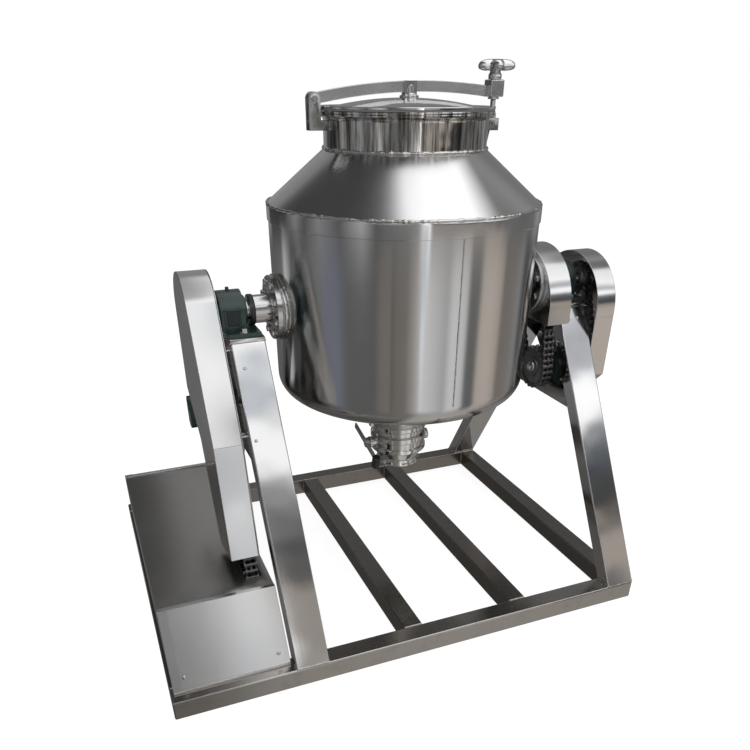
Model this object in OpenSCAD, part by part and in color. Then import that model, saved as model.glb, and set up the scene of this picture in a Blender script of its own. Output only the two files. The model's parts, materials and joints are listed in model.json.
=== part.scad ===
// Rotary drum mixer: a closed drum with a neck and a clamped lid hangs on two trunnions between
// A-shaped legs. A gearmotor in the hood at the left turns the drum through a duplex chain.
// At the right two chains and a countershaft take the drum's turning to the stirrer's shaft.
// X runs along the trunnions, Y from front to back, Z up. The floor is Z = 0.

/* [Base frame] */
// Depth of the frame, front to back
base_depth = 1122; // [1100:1:1160]
// Side of the square frame tube
tube = 60; // [50:1:64]
// Wall of every frame tube
tube_wall = 4; // [3:0.5:5]
// Left side of the first inner cross bar, from the drum's mid-plane
bar_a_x = -190; // [-220:1:-160]
// Left side of the second inner cross bar, from the drum's mid-plane
bar_b_x = 165; // [140:1:200]

/* [Legs] */
// Width of a leg, along the trunnions
leg_w = 96; // [90:1:100]
// Thickness of a leg, square to its slope
leg_t = 48; // [44:1:50]
// Gap between the left trunnion's flange and the left legs
left_room = 42; // [38:1:46]
// Gap between the right trunnion's flange and the inner guard
right_room = 15; // [12:1:20]
// Height of the bearing seats above the floor
seat_h = 834; // [826:1:844]
// Half the depth of a bearing seat
seat_half = 94; // [90:1:100]
// Thickness of a bearing seat's plate
seat_t = 10; // [8:1:14]
// Drop from the bearing seats to the beams between front and back legs
beam_down = 244; // [238:1:250]
// Height of the beams between front and back legs
beam_h = 50; // [44:1:56]

/* [Drum] */
// Outer radius of the drum
drum_r = 375; // [368:1:380]
// Wall of the drum
drum_wall = 4; // [3:0.5:5]
// Height of the drum's straight wall below the trunnions' axis
drum_below = 214; // [206:1:220]
// Height of the drum's straight wall above the trunnions' axis
drum_above = 253; // [246:1:262]
// Radius of the lower corner
knuckle_r = 60; // [54:1:62]
// Fall of the bottom from the corner to the outlet
bottom_fall = 36; // [32:1:40]
// Outer radius of the neck
neck_r = 216; // [210:1:218]
// Height of the shoulder
shoulder_h = 128; // [122:1:134]
// Height of the neck with its rim
neck_h = 86; // [82:1:92]
// Radius of the rim and of the lid
rim_r = 232; // [229:1:234]
// Thickness of the neck's rim
rim_t = 12; // [10:1:14]
// Height of the band below the shoulder
band_h = 40; // [34:1:46]
// Thickness of the band below the shoulder
band_t = 3; // [2:0.5:4]

/* [Trunnions] */
// Height of the trunnions' axis above a bearing seat
axis_up = 51; // [50:0.5:54]
// Radius of a trunnion's flange
flange_r = 85; // [82:1:86]
// Thickness of a trunnion's flange
flange_t = 16; // [14:1:17]
// Outer radius of a trunnion's tube
trunnion_r = 37.5; // [36:0.5:39]
// Radius of a trunnion's journal
journal_r = 25; // [24:0.5:26]
// Radius of the stirrer's shaft
stir_r = 16; // [15:0.5:16.5]
// Bolts in a trunnion's flange
flange_bolts = 8; // [6:1:8]
// Radius of the bolt circle in a trunnion's flange
flange_bolt_r = 68; // [66:1:70]

/* [Chains] */
// Pitch of all chains
pitch = 19.05; // [18.8:0.05:19.3]
// Teeth on the left trunnion's sprocket and on the drum's sprocket at the right
drum_teeth = 32; // [31:1:33]
// Teeth on the gearmotor's sprocket
motor_teeth = 18; // [17:1:19]
// Teeth on the idler
idler_teeth = 11; // [10:1:12]
// Teeth on both countershaft sprockets
counter_teeth = 20; // [19:1:21]
// Teeth on the stirrer's sprocket
stir_teeth = 15; // [14:1:16]
// Countershaft, in front of the trunnions' axis
counter_y = 80; // [76:1:84]
// Height of the countershaft above its beam
counter_up = 50; // [48:1:52]
// Gap between the gearbox's top and the hood's front panel
gear_room = 27; // [22:1:34]
// Height of the gearmotor's output shaft above the deck
output_up = 99; // [96:1:102]
// Height of the idler above the left beam
idler_up = 50; // [44:1:56]

/* [Hood and guards] */
// Height of the hood's top
hood_top = 250; // [246:1:258]
// Width of the hood, along the trunnions
hood_w = 318; // [300:1:340]
// Gap between the hood's left side and the frame's left end
hood_inset = 9; // [6:1:14]
// Gap between the hood or a guard and the legs beside it
leg_gap = 7; // [5:0.5:8]
// Thickness of every sheet
sheet = 3; // [2:0.5:3.5]
// Thickness of the left chain guard, along the trunnions
guard_w = 80; // [76:1:84]
// Gap between the left chain guard and the left legs
guard_gap = 24; // [23:1:26]
// Thickness of the inner right guard, along the trunnions
inner_guard_w = 76; // [70:1:78]
// Thickness of the outer right guard, along the trunnions
outer_guard_w = 68; // [64:1:74]
// Gap between a chain and the guard round it
chain_gap = 9; // [8:0.5:11]

/* [Lid clamp] */
// Height of the clamp bar's side
bar_h = 25; // [23:1:27]
// Thickness of the clamp bar
bar_t = 12; // [11:1:13]
// Rise of the bar's arch above its hinge
bar_rise = 28; // [26:1:30]
// Height of the bar's hinge above the neck's rim
hinge_up = 25; // [24:0.5:27]
// Distance of the bar's hinge from the neck's axis
hinge_out = 252; // [250:1:254]
// Distance of the stud from the neck's axis
stud_out = 258; // [256:1:260]
// Radius of the stud
stud_r = 7; // [6:0.5:7.5]
// Radius of the hinge pin
pin_r = 6; // [5:0.5:6.5]
// Radius of the hand knob over its lobes
knob_r = 51; // [47:1:53]

/* [Outlet] */
// Inner radius of the outlet
outlet_r = 74; // [72:1:75]
// Length of the outlet's pipe
outlet_len = 75; // [71:1:79]
// Drop from the butterfly valve's top to its stem
stem_down = 72; // [70:1:74]
// Radius of the butterfly valve's body
valve_r = 90; // [88:1:92]
// Bore of the butterfly valve
valve_bore = 64; // [62:0.5:65]

/* [Hidden] */
$fn = 64;

// Play of a shaft in its bush, gap between parts that only face each other, overrun of a cut
play = 0.05;
gap = 0.4;
over = 1;

// Heights of the drum, the outlet and the valve, from the trunnions' axis
axis_z = seat_h + axis_up;
wall_low = axis_z - drum_below;
wall_high = axis_z + drum_above;
neck_low = wall_high + shoulder_h;
neck_high = neck_low + neck_h;
corner_low = wall_low - knuckle_r;
corner_r = drum_r - knuckle_r;
outlet_out = outlet_r + drum_wall;
outlet_high = corner_low - bottom_fall;
valve_top = outlet_high - outlet_len;
valve_z = valve_top - stem_down;

// Places along the trunnions, outwards from the drum's wall
pad_step = 7;
pad_face = drum_r + pad_step;
flange_face = pad_face + flange_t;
leg_half = leg_w / 2;
leg_left = -flange_face - left_room - leg_half;
inner_left = flange_face + right_room;
inner_right = inner_left + inner_guard_w;
leg_right = inner_right + leg_gap + leg_half;
base_right = leg_right + leg_half;
outer_stand = 3.5;
outer_left = base_right + outer_stand;
outer_right = outer_left + outer_guard_w;
guard_in = leg_left - leg_half - guard_gap;
guard_out = guard_in - guard_w;
hood_right = leg_left - leg_half - leg_gap;
hood_left = hood_right - hood_w;
base_left = hood_inset - hood_left;
drum_x = (base_left - outer_right) / 2;

// Legs: the front face runs from the frame's front edge to the seat's front edge
leg_foot = base_depth / 2;
leg_rise = seat_h - seat_t - tube;
leg_run = leg_foot - seat_half;
leg_lean = leg_run / leg_rise;
leg_depth = leg_t * sqrt(1 + leg_lean * leg_lean);
function leg_face(z) = leg_foot - (z - tube) * leg_lean;
function leg_back(z) = leg_face(z) - leg_depth;
beam_top = seat_h - beam_down;

// Hood: its sloped panels are parallel to the legs
deck_t = 6;
deck_top = tube + deck_t;
panel_foot = leg_foot - tube / 2;
function panel_face(z) = panel_foot - (z - tube) * leg_lean;
lip = 14;
screw_r = 5;

// Gearbox and its output shaft
gear_half = 95;
gear_top = hood_top - 4 * sheet;
output_y = panel_face(gear_top) - gear_half - gear_room;
output_z = deck_top + output_up;

// Chains: pitch radii, rows, plates and rollers
plate_share = 0.42;
roller_share = 0.31;
tooth_share = 0.5;
row_share = 1.045;
tip_share = 0.3;
root_share = 0.33;
plate_t = 3;
plate_side = 0.6;
function pitch_r(n) = pitch / (2 * sin(180 / n));
drum_pr = pitch_r(drum_teeth);
motor_pr = pitch_r(motor_teeth);
idler_pr = pitch_r(idler_teeth);
counter_pr = pitch_r(counter_teeth);
stir_pr = pitch_r(stir_teeth);
link_half = pitch * plate_share;
row_half = pitch * row_share / 2;
tooth_w = pitch * tooth_share;
duplex_half = row_half + tooth_w / 2 + plate_side + plate_t;
single_half = tooth_w / 2 + plate_side + plate_t;
counter_z = beam_top + counter_up;
plane_main = guard_in - 3 * sheet - duplex_half;
plane_inner = inner_right - inner_guard_w / 2;
plane_outer = outer_left + outer_guard_w / 2;

// Main chain: lean of both runs, and where a line beside each run is at a height
main_drop = axis_z - output_z;
main_lean = atan(output_y / main_drop);
main_taper = asin((drum_pr - motor_pr) / sqrt(output_y * output_y + main_drop * main_drop));
back_lean = main_lean + main_taper;
front_lean = main_lean - main_taper;
function back_run(z, extra) = (drum_pr + extra - (axis_z - z) * sin(back_lean)) / cos(back_lean);
function front_run(z, extra) = -(drum_pr + extra + (axis_z - z) * sin(front_lean)) / cos(front_lean);

// Pillow blocks on the bearing seats
block_w = 66;
block_base = 90;
foot_gap = 1.5;
block_h = axis_up - trunnion_r - foot_gap;
block_r = 57;
cover_r = 40;
cover_t = 10;
insert_ring = 20;
insert_r = journal_r + insert_ring;
house_shift = 25;
base_shift = 4;
house_left = leg_left - house_shift;
foot_left = leg_left - base_shift;
block_edge = 6;
block_half = seat_half - block_edge;
seat_bolt_r = 8;
cover_play = 1;
head_share = 1.1;
seat_bolt_y = block_half - 2 * seat_bolt_r;
head_wide_share = 1.6;

// Countershaft's blocks
counter_r = stir_r;
counter_block_w = 30;
counter_block_r = 36;
counter_block_half = 66;
counter_base = 12;
counter_insert_r = counter_r + 13;
counter_insert_w = 18;
counter_bolt_y = 54;
counter_bolt_r = 5;
counter_seat = leg_half / 2;

// Drum's lower corner and hubs
knuckle_steps = 8;
pad_sink = 20;
hub_r = 40;
hub_depth = 42;
hub_blind = 10;
tube_stop = 26;
tube_end_left = leg_left + tube_stop;
tube_end_right = leg_right - leg_half - leg_gap / 2;
hollow_play = 1.5;
hollow_r = stir_r + hollow_play;
cap_bolt_r = 6;
cap_head_t = 8;
cap_wide_share = 1.65;
pad_fn = 160;
stub_end = plane_main - duplex_half - sheet;
right_end = base_right + 2 * outer_stand;

// Stirrer: each arm is turned a quarter from the next and carries one blade
stir_arms = 4;
stir_span = 400;
arm_reach = 205;
arm_r = 11;
arm_hub_r = 32;
arm_hub_w = 44;
blade_w = 110;
blade_h = 70;
blade_t = 8;
blade_turn = 35;

// Clamp bar, knob and their mounts
hinge_z = neck_high + hinge_up;
bar_peak_x = 50;
bar_low = hinge_z + bar_h / 2;
fork_half = 20;
fork_y = 20;
fork_drop = 14;
fork_tall = 39;
bar_steps = 18;
function bar_top(x) = bar_low + bar_rise * (1 - pow((x - bar_peak_x) / (hinge_out + bar_peak_x), 2));
fork_low = bar_top(stud_out - fork_half) - bar_h;
fork_high = fork_low + fork_tall;
sleeve_r = 11;
thread_play = 0.6;
boss_h = 20;
star_h = 25;
star_hub = 30;
star_lobes = 5;
lobe_r = 13;
keeper_r = 15;
keeper_t = 5;
ear_t = 8;
ear_r = 15.5;
shelf_down = 43;
shelf_low = neck_high - shelf_down;
shelf_t = 22;
lug_out = 14;
lug_y = 16;
lug_down = 48;
lug_low = neck_high - lug_down;
lug_t = 29;
gusset_low = 10;
gusset_y = 5;
nut_h = 11;
stud_stand = 15;
cheek_t = 5;
cheek_w = 34;
cheek_x = 9;
pillar_r = 15;

// Lid and gasket
gasket_t = 3.6;
lid_t = 6;
lid_wall = 4;
dome_r = 205;
dome_h = 18;
dome_steps = 12;
lid_low = neck_high + gap + gasket_t;
lid_top = lid_low + lid_t;
function dome_z(r) = lid_top + dome_h * (1 - pow(r / dome_r, 2));

// Butterfly valve
stem_r = 8;
boss_r = 18;
boss_end = 104;
body_h = 98;
cone_h = 25;
tail_h = 22;
valve_low = valve_top - body_h;
tail_top = valve_low - cone_h;
tail_low = tail_top - tail_h;
tail_r = valve_bore + drum_wall;
bead = 4;
bead_h = 6;
disc_gap = 0.8;
disc_t = 6;
ferrule_t = 10;
lever_t = 6;
lever_w = 18;
lever_front = 78;
lever_rear = 98;
lever_tilt = 14;
lever_hub_t = 12;
grip_r = 13;
grip_len = 40;

// Everything is drawn from the drum's mid-plane and moved so that the whole outline is centred
module placed() { translate([drum_x, 0, 0]) children(); }

// A flat shape in the Y-Z plane, made solid from x0 to x1
module along_x(x0, x1) { translate([x0, 0, 0]) rotate([90, 0, 90]) linear_extrude(x1 - x0) children(); }

// A round bar along X
module rod_x(x0, x1, r, y = 0, z = axis_z) {
    translate([x0, y, z]) rotate([0, 90, 0]) cylinder(h = x1 - x0, r = r);
}

// A round bar along Y, centred
module rod_y(x, z, half, r) { translate([x, half, z]) rotate([90, 0, 0]) cylinder(h = 2 * half, r = r); }

// A square-edged tube, closed at both ends
module hollow_box(x0, x1, y0, y1, z0, z1) {
    difference() {
        translate([x0, y0, z0]) cube([x1 - x0, y1 - y0, z1 - z0]);
        translate([x0 + tube_wall, y0 + tube_wall, z0 + tube_wall])
            cube([x1 - x0 - 2 * tube_wall, y1 - y0 - 2 * tube_wall, z1 - z0 - 2 * tube_wall]);
    }
}

module front_rail() {
    color("silver") placed() hollow_box(-base_left, base_right, -leg_foot, tube - leg_foot, 0, tube);
}

module back_rail() {
    color("silver") placed() hollow_box(-base_left, base_right, leg_foot - tube, leg_foot, 0, tube);
}

module cross_bars() {
    color("dimgray") placed() for (x = [-base_left, bar_a_x, bar_b_x, base_right - tube])
        hollow_box(x, x + tube, tube - leg_foot, leg_foot - tube, 0, tube);
}

// Outline of one leg in the Y-Z plane, drawn in by a wall
module leg_outline(wall) {
    low = tube + wall;
    high = seat_h - seat_t - wall;
    side = wall * leg_depth / leg_t;
    polygon([[side - leg_face(low), low], [side - leg_face(high), high],
        [-leg_back(high) - side, high], [-leg_back(low) - side, low]]);
}

module leg_pair(x) {
    for (way = [0, 1]) mirror([0, way, 0]) difference() {
        along_x(x - leg_half, x + leg_half) leg_outline(0);
        along_x(x - leg_half + tube_wall, x + leg_half - tube_wall) leg_outline(tube_wall);
    }
}

module left_legs() { color("silver") placed() leg_pair(leg_left); }

module right_legs() { color("silver") placed() leg_pair(leg_right); }

// Plates on top of the legs, drilled for the pillow blocks' bolts
module bearing_seats() {
    color("silver") placed() for (s = [[leg_left, foot_left], [leg_right, leg_right + base_shift]]) difference() {
        translate([s[0] - leg_half, -seat_half, seat_h - seat_t]) cube([leg_w, 2 * seat_half, seat_t]);
        for (y = [-seat_bolt_y, seat_bolt_y]) translate([s[1], y, seat_h - seat_t - over])
            cylinder(h = seat_t + 2 * over, r = seat_bolt_r + play);
    }
}

// Outline of a beam between front and back legs, cut to their slope and drawn in by a wall
module beam_outline(wall) {
    low = beam_top - beam_h + wall;
    high = beam_top - wall;
    side = wall * leg_depth / leg_t;
    polygon([[side - leg_back(low), low], [side - leg_back(high), high],
        [leg_back(high) - side, high], [leg_back(low) - side, low]]);
}

module leg_beams() {
    color("gray") placed() for (x = [leg_left, leg_right]) difference() {
        along_x(x - leg_half, x + leg_half) beam_outline(0);
        along_x(x - leg_half + tube_wall, x + leg_half - tube_wall) beam_outline(tube_wall);
    }
}

module deck_plate() {
    color("dimgray") placed() translate([hood_left, -panel_foot, tube])
        cube([hood_right - hood_left, 2 * panel_foot, deck_t]);
}

// Section of the space under the hood, drawn in by a wall
module hood_section(wall) {
    high = hood_top - wall;
    side = wall * leg_depth / leg_t;
    low_y = panel_face(deck_top) - side;
    high_y = panel_face(high) - side;
    polygon([[-low_y, deck_top], [-high_y, high], [high_y, high], [low_y, deck_top]]);
}

// Room for both runs of the main chain in the hood's top
module chain_slot() {
    front = front_run(hood_top, link_half + chain_gap);
    back = back_run(hood_top, link_half + chain_gap);
    translate([plane_main - duplex_half - chain_gap / 2, front, hood_top - 3 * sheet])
        cube([2 * duplex_half + chain_gap, back - front, 4 * sheet]);
}

// Top and both sides of the hood, folded from one sheet and open at front and back
module hood_shell() {
    color("dimgray") placed() difference() {
        along_x(hood_left, hood_right) hood_section(sheet + gap);
        translate([hood_left + sheet, -leg_foot, deck_top - over])
            cube([hood_right - hood_left - 2 * sheet, base_depth, hood_top - 2 * sheet - gap - deck_top + over]);
        chain_slot();
    }
}

// Sloped panel that closes the hood in front, with a flange over the top sheet and two screws
module hood_panel() {
    low = deck_top;
    side = sheet * leg_depth / leg_t;
    along_x(hood_left, hood_right) polygon([
        [-panel_face(low), low], [-panel_face(hood_top), hood_top], [lip - panel_face(hood_top), hood_top],
        [lip - panel_face(hood_top), hood_top - sheet], [side - panel_face(hood_top - sheet), hood_top - sheet],
        [side - panel_face(low), low]]);
    for (x = [hood_left + 2 * lip, hood_right - 2 * lip])
        translate([x, -panel_face(low + 2 * lip), low + 2 * lip]) rotate([90 + atan(leg_lean), 0, 0])
            translate([0, 0, -sheet / 2]) cylinder(h = 1.5 * sheet, r = screw_r);
}

module hood_front_panel() { color("lightgray") placed() hood_panel(); }

module hood_back_panel() { color("lightgray") placed() mirror([0, 1, 0]) hood_panel(); }

// Gearmotor: a right-angle gearbox with the motor behind it
gear_gap = 12;
gear_w = 150;
gear_corner = 18;
gear_right = plane_main - duplex_half - gear_gap;
gear_left = gear_right - gear_w;
foot_t = 14;
foot_out = 20;
motor_r = 72;
fin_h = 7;
fin_t = 3;
fin_count = 20;
motor_x = (gear_left + gear_right) / 2;
motor_y = gear_half - output_y;
motor_len = 240;
collar_len = 16;
cowl_len = 70;
cowl_slot = 6;
terminal_w = 30;
terminal_len = 90;
gland_r = 9;
output_r = stir_r;
output_deep = 60;
output_boss = 8;

module main_gearbox() {
    low = deck_top + foot_t;
    half = gear_half - gear_corner;
    color("darkslategray") placed() difference() {
        union() {
            translate([gear_left - foot_out, -output_y - gear_half, deck_top])
                cube([gear_w + foot_out, 2 * gear_half, foot_t]);
            along_x(gear_left, gear_right) translate([-output_y, 0]) polygon([
                [-half, low - over], [-gear_half, low + gear_corner], [-gear_half, gear_top - gear_corner],
                [-half, gear_top], [half, gear_top], [gear_half, gear_top - gear_corner],
                [gear_half, low + gear_corner], [half, low - over]]);
            rod_x(gear_right - over, gear_right + output_boss, 2 * output_r, -output_y, output_z);
        }
        rod_x(gear_right - output_deep, gear_right + 2 * output_boss, output_r + play, -output_y, output_z);
    }
}

module main_motor() {
    color("darkslategray") placed() translate([motor_x, motor_y, output_z]) rotate([-90, 0, 0]) {
        cylinder(h = collar_len, r = motor_r);
        cylinder(h = motor_len, r = motor_r - fin_h);
        for (i = [0 : fin_count - 1]) rotate(i * 360 / fin_count)
            translate([motor_r - fin_h - over, -fin_t / 2, collar_len - over])
                cube([fin_h + over, fin_t, motor_len - 2 * collar_len]);
    }
}

module motor_cowl() {
    color("darkslategray") placed() translate([motor_x, motor_y + motor_len, output_z]) rotate([-90, 0, 0])
        difference() {
            cylinder(h = cowl_len, r = motor_r);
            translate([0, 0, sheet]) cylinder(h = cowl_len - 2 * sheet, r = motor_r - sheet);
            for (i = [-2 : 2]) translate([-motor_r / 2, (2 * i - 0.5) * cowl_slot, cowl_len - 2 * sheet])
                cube([motor_r, cowl_slot, 3 * sheet]);
        }
}

module terminal_box() {
    right = motor_x - motor_r;
    mid = motor_y + motor_len / 2;
    color("dimgray") placed() {
        translate([right - terminal_w, mid - terminal_len / 2, output_z - terminal_len / 2])
            cube([terminal_w, terminal_len, terminal_len]);
        translate([right - terminal_w / 2, mid + terminal_len / 2 - over, output_z]) rotate([-90, 0, 0])
            cylinder(h = 2 * gland_r, r = gland_r);
    }
}

// Outline of a toothed wheel
module teeth(n) {
    tip = pitch_r(n) + pitch * tip_share;
    root = pitch_r(n) - pitch * root_share;
    tip_part = 0.12;
    root_part = 0.26;
    polygon([for (i = [0 : n - 1], c = [[root, -root_part], [tip, -tip_part], [tip, tip_part], [root, root_part]])
        [c[0] * cos((i + c[1]) * 360 / n), c[0] * sin((i + c[1]) * 360 / n)]]);
}

// A sprocket round X: one or two rows of teeth, a web, and a hub from a to b beside its plane
module sprocket(n, rows, x, y, z, bore, hub, a, b) {
    difference() {
        union() {
            for (s = rows == 2 ? [-row_half, row_half] : [0])
                translate([x + s - tooth_w / 2, y, z]) rotate([90, 0, 90]) linear_extrude(tooth_w) teeth(n);
            if (rows == 2) rod_x(x - row_half, x + row_half, pitch_r(n) - pitch * row_share / 2, y, z);
            rod_x(x + a, x + b, hub, y, z);
        }
        rod_x(x + a - over, x + b + over, bore, y, z);
    }
}

// Flat loop of chain plates round two wheels
module link_loop(ya, za, ra, yb, zb, rb) {
    difference() {
        hull() {
            translate([ya, za]) circle(r = ra + link_half);
            translate([yb, zb]) circle(r = rb + link_half);
        }
        hull() {
            translate([ya, za]) circle(r = ra - link_half);
            translate([yb, zb]) circle(r = rb - link_half);
        }
    }
}

// A closed chain: rows of plates, and rollers along both straight runs clear of the teeth
module chain(x, half, rows, ya, za, ra, yb, zb, rb) {
    far = sqrt(pow(ya - yb, 2) + pow(za - zb, 2));
    line = sqrt(far * far - pow(ra - rb, 2));
    lean = atan2(ya - yb, za - zb);
    taper = asin((ra - rb) / far);
    skip = 3;
    count = floor(line / pitch) - 2 * skip;
    start = (line - count * pitch) / 2;
    for (s = rows == 2 ? [[-half, plate_t], [-plate_t / 2, plate_t], [half - plate_t, plate_t]]
        : [[-half, plate_t], [half - plate_t, plate_t]])
        along_x(x + s[0], x + s[0] + s[1]) link_loop(ya, za, ra, yb, zb, rb);
    for (side = [-1, 1], i = [0 : count]) {
        way = lean + side * taper;
        y = yb + side * rb * cos(way) + (start + i * pitch) * sin(way);
        z = zb - side * rb * sin(way) + (start + i * pitch) * cos(way);
        rod_x(x - half, x + half, pitch * roller_share, y, z);
    }
}

module main_chain() {
    color("black") placed()
        chain(plane_main, duplex_half, 2, 0, axis_z, drum_pr, -output_y, output_z, motor_pr);
}

module inner_chain() {
    color("black") placed()
        chain(plane_inner, duplex_half, 2, 0, axis_z, drum_pr, -counter_y, counter_z, counter_pr);
}

module outer_chain() {
    color("black") placed()
        chain(plane_outer, single_half, 1, 0, axis_z, stir_pr, -counter_y, counter_z, counter_pr);
}

// The gearmotor's sprocket with its output shaft
module motor_sprocket() {
    color("dimgray") placed() {
        sprocket(motor_teeth, 2, plane_main, -output_y, output_z, output_r, 2 * output_r,
            -duplex_half, duplex_half);
        rod_x(gear_right - output_deep + output_boss, plane_main + duplex_half + sheet, output_r,
            -output_y, output_z);
    }
}

module main_sprocket() {
    color("dimgray") placed()
        sprocket(drum_teeth, 2, plane_main, 0, axis_z, journal_r, 1.8 * journal_r, -duplex_half, duplex_half);
}

module drum_sprocket() {
    color("dimgray") placed()
        sprocket(drum_teeth, 2, plane_inner, 0, axis_z, trunnion_r, 1.4 * trunnion_r,
            -duplex_half, duplex_half);
}

module stirrer_sprocket() {
    color("dimgray") placed()
        sprocket(stir_teeth, 1, plane_outer, 0, axis_z, stir_r, 1.7 * stir_r, -single_half, single_half);
}

module counter_sprockets() {
    color("dimgray") placed() {
        sprocket(counter_teeth, 2, plane_inner, -counter_y, counter_z, counter_r, 1.9 * counter_r,
            -duplex_half, duplex_half);
        sprocket(counter_teeth, 1, plane_outer, -counter_y, counter_z, counter_r, 1.9 * counter_r,
            -single_half, single_half);
    }
}

module countershaft() {
    color("silver") placed() rod_x(plane_inner - duplex_half - sheet, plane_outer + single_half + sheet,
        counter_r, -counter_y, counter_z);
}

// Chain tensioner: a torsion unit on the left beam, an arm and an idler behind the back run
tension_y = 155;
tension_z = beam_top - beam_h / 2;
axle_r = 17;
axle_flange_r = 23;
axle_flange_t = 8;
arm_t = 8;
arm_w = 32;
swing_end_r = 0.6 * arm_w;
swing_hub_r = 0.7 * arm_w;
arm_in = plane_main - duplex_half - gap;
block_out = 26;
block_y = 25;
block_up = 36;
block_down = 60;
block_round = 12;
idler_z = beam_top + idler_up;
idler_pin_r = 9;
idler_hub_r = 17;
idler_far = idler_pr + pitch * (tip_share + roller_share) + gap;
idler_y = back_run(idler_z, idler_far);

module tensioner_bracket() {
    right = leg_left - leg_half;
    color("gray") placed() difference() {
        union() {
            rod_x(arm_in - arm_t, right - over, axle_r, tension_y, tension_z);
            rod_x(right - axle_flange_t, right, axle_flange_r, tension_y, tension_z);
        }
        rod_x(arm_in - arm_t - over, right - axle_flange_t, axle_r / 2, tension_y, tension_z);
    }
}

module tensioner_arm() {
    reach_y = idler_y - tension_y;
    reach_z = idler_z - tension_z;
    reach = sqrt(reach_y * reach_y + reach_z * reach_z);
    left = arm_in - arm_t;
    color("darkslategray") placed() difference() {
        union() {
            translate([0, tension_y, tension_z]) {
                along_x(left - block_out, left + over) polygon([
                    [-block_y, block_round - block_down], [block_round - block_y, -block_down],
                    [block_y - block_round, -block_down], [block_y, block_round - block_down],
                    [block_y, block_up - block_round], [block_y - block_round, block_up],
                    [block_round - block_y, block_up], [-block_y, block_up - block_round]]);
                rotate([atan2(reach_z, reach_y), 0, 0]) translate([left, 0, -arm_w / 2])
                    cube([arm_t, reach, arm_w]);
            }
            rod_x(left, arm_in, swing_end_r, idler_y, idler_z);
            rod_x(left, arm_in, swing_hub_r, tension_y, tension_z);
            rod_x(arm_in - over, plane_main + duplex_half, idler_pin_r, idler_y, idler_z);
        }
        rod_x(left - over, arm_in + over, axle_r + play, tension_y, tension_z);
    }
}

module idler_sprocket() {
    color("dimgray") placed() sprocket(idler_teeth, 2, plane_main, idler_y, idler_z, idler_pin_r + play,
        idler_hub_r, gap - duplex_half, duplex_half - gap);
}

// Left chain guard: an arch over the big sprocket, and a leg down to the hood
guard_r = drum_pr + link_half + 0.7 * chain_gap;
seam_up = 17;
knee_down = 46;
guard_clear = 50;
rear_clear = 20;
seam_z = beam_top + seam_up;
knee_z = beam_top - knee_down;
guard_low = hood_top + guard_clear;
guard_rear_low = hood_top + rear_clear;
guard_skirt = 46;
knee_rise = 106;
arch_steps = 24;
function front_y(z, extra) = front_run(z, link_half + extra);
function rear_y(z, extra) = back_run(z, link_half + extra);

// Outline of the guard from the bottom up, with the wall's thickness taken in
function arch_start(y, z, r) = 360 + atan2(z - axis_z, y) - acos(r / sqrt(y * y + pow(z - axis_z, 2)));
function guard_points(wall) =
    let (seam_y = front_y(seam_z, guard_skirt - wall), r = guard_r - wall, start = arch_start(seam_y, seam_z, r))
    concat([[front_y(guard_low, chain_gap - wall), guard_low], [seam_y, seam_z]],
        [for (i = [0 : arch_steps]) let (a = start * (1 - i / arch_steps)) [r * cos(a), axis_z + r * sin(a)]],
        [[r, knee_z + knee_rise], [rear_y(knee_z, chain_gap - wall), knee_z],
            [rear_y(guard_rear_low, chain_gap - wall), guard_rear_low]]);

module guard_part(wall, from, to) {
    intersection() {
        polygon(guard_points(wall));
        translate([-base_depth, from]) square([2 * base_depth, to - from]);
    }
}

// Cover of the left guard between two heights: outer plate and the rim sheet, open below
module guard_cover(from, to) {
    difference() {
        along_x(guard_out, guard_in - sheet - gap) guard_part(0, from, to);
        along_x(guard_out + sheet, guard_in) guard_part(sheet, from - over, to + over);
        along_x(guard_out + sheet, guard_in) guard_mouth();
    }
}

// The guard's open underside, where the chain leaves it and the tensioner's arm comes in
module guard_mouth() {
    front_low = front_y(guard_low, chain_gap - sheet);
    rear_low = rear_y(guard_rear_low, chain_gap - sheet);
    corner_z = knee_z + knee_rise;
    polygon([[front_low, guard_low + sheet], [rear_low, guard_rear_low + sheet],
        [rear_low, guard_rear_low - sheet], [front_low, guard_rear_low - sheet]]);
    polygon([[rear_y(knee_z, chain_gap - 2 * sheet), knee_z], [guard_r - sheet, corner_z + sheet],
        [guard_r + over, corner_z], [rear_y(knee_z, chain_gap) + over, knee_z]]);
}

module left_guard_upper() { color("silver") placed() guard_cover(seam_z + gap, axis_z + 2 * guard_r); }

module left_guard_lower() { color("silver") placed() guard_cover(guard_rear_low - over, seam_z); }

module left_guard_plate() {
    color("silver") placed() difference() {
        along_x(guard_in - sheet, guard_in) guard_part(0, guard_rear_low - over, axis_z + 2 * guard_r);
        rod_x(guard_in - 2 * sheet, guard_in + sheet, journal_r + sheet);
        rod_x(guard_in - 2 * sheet, guard_in + sheet, axle_r + sheet, tension_y, tension_z);
    }
}

// Tabs that carry the guards on the legs
tab_w = 40;
tab_t = 5;
tab_down = 28;
tab_step = 106;
tab_high = seat_h - tab_down;
tab_mid = tab_high - tab_step;
module guard_tabs() {
    color("silver") placed() {
        for (z = [tab_high, seam_z]) translate([guard_in, -leg_back(z) - tab_w, z - tab_t / 2])
            cube([leg_left - leg_half - guard_in, tab_w, tab_t]);
        for (z = [tab_high, tab_high - 2 * tab_w])
            translate([inner_right, -leg_back(z) - tab_w / 2, z - tab_t / 2])
                cube([leg_right - leg_half - inner_right, tab_w / 2, tab_t]);
        for (z = [tab_high, tab_mid])
            translate([base_right, -leg_back(z) - tab_w, z - tab_t / 2])
                cube([outer_left - base_right + 2 * sheet, tab_w, tab_t]);
    }
}

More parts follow.
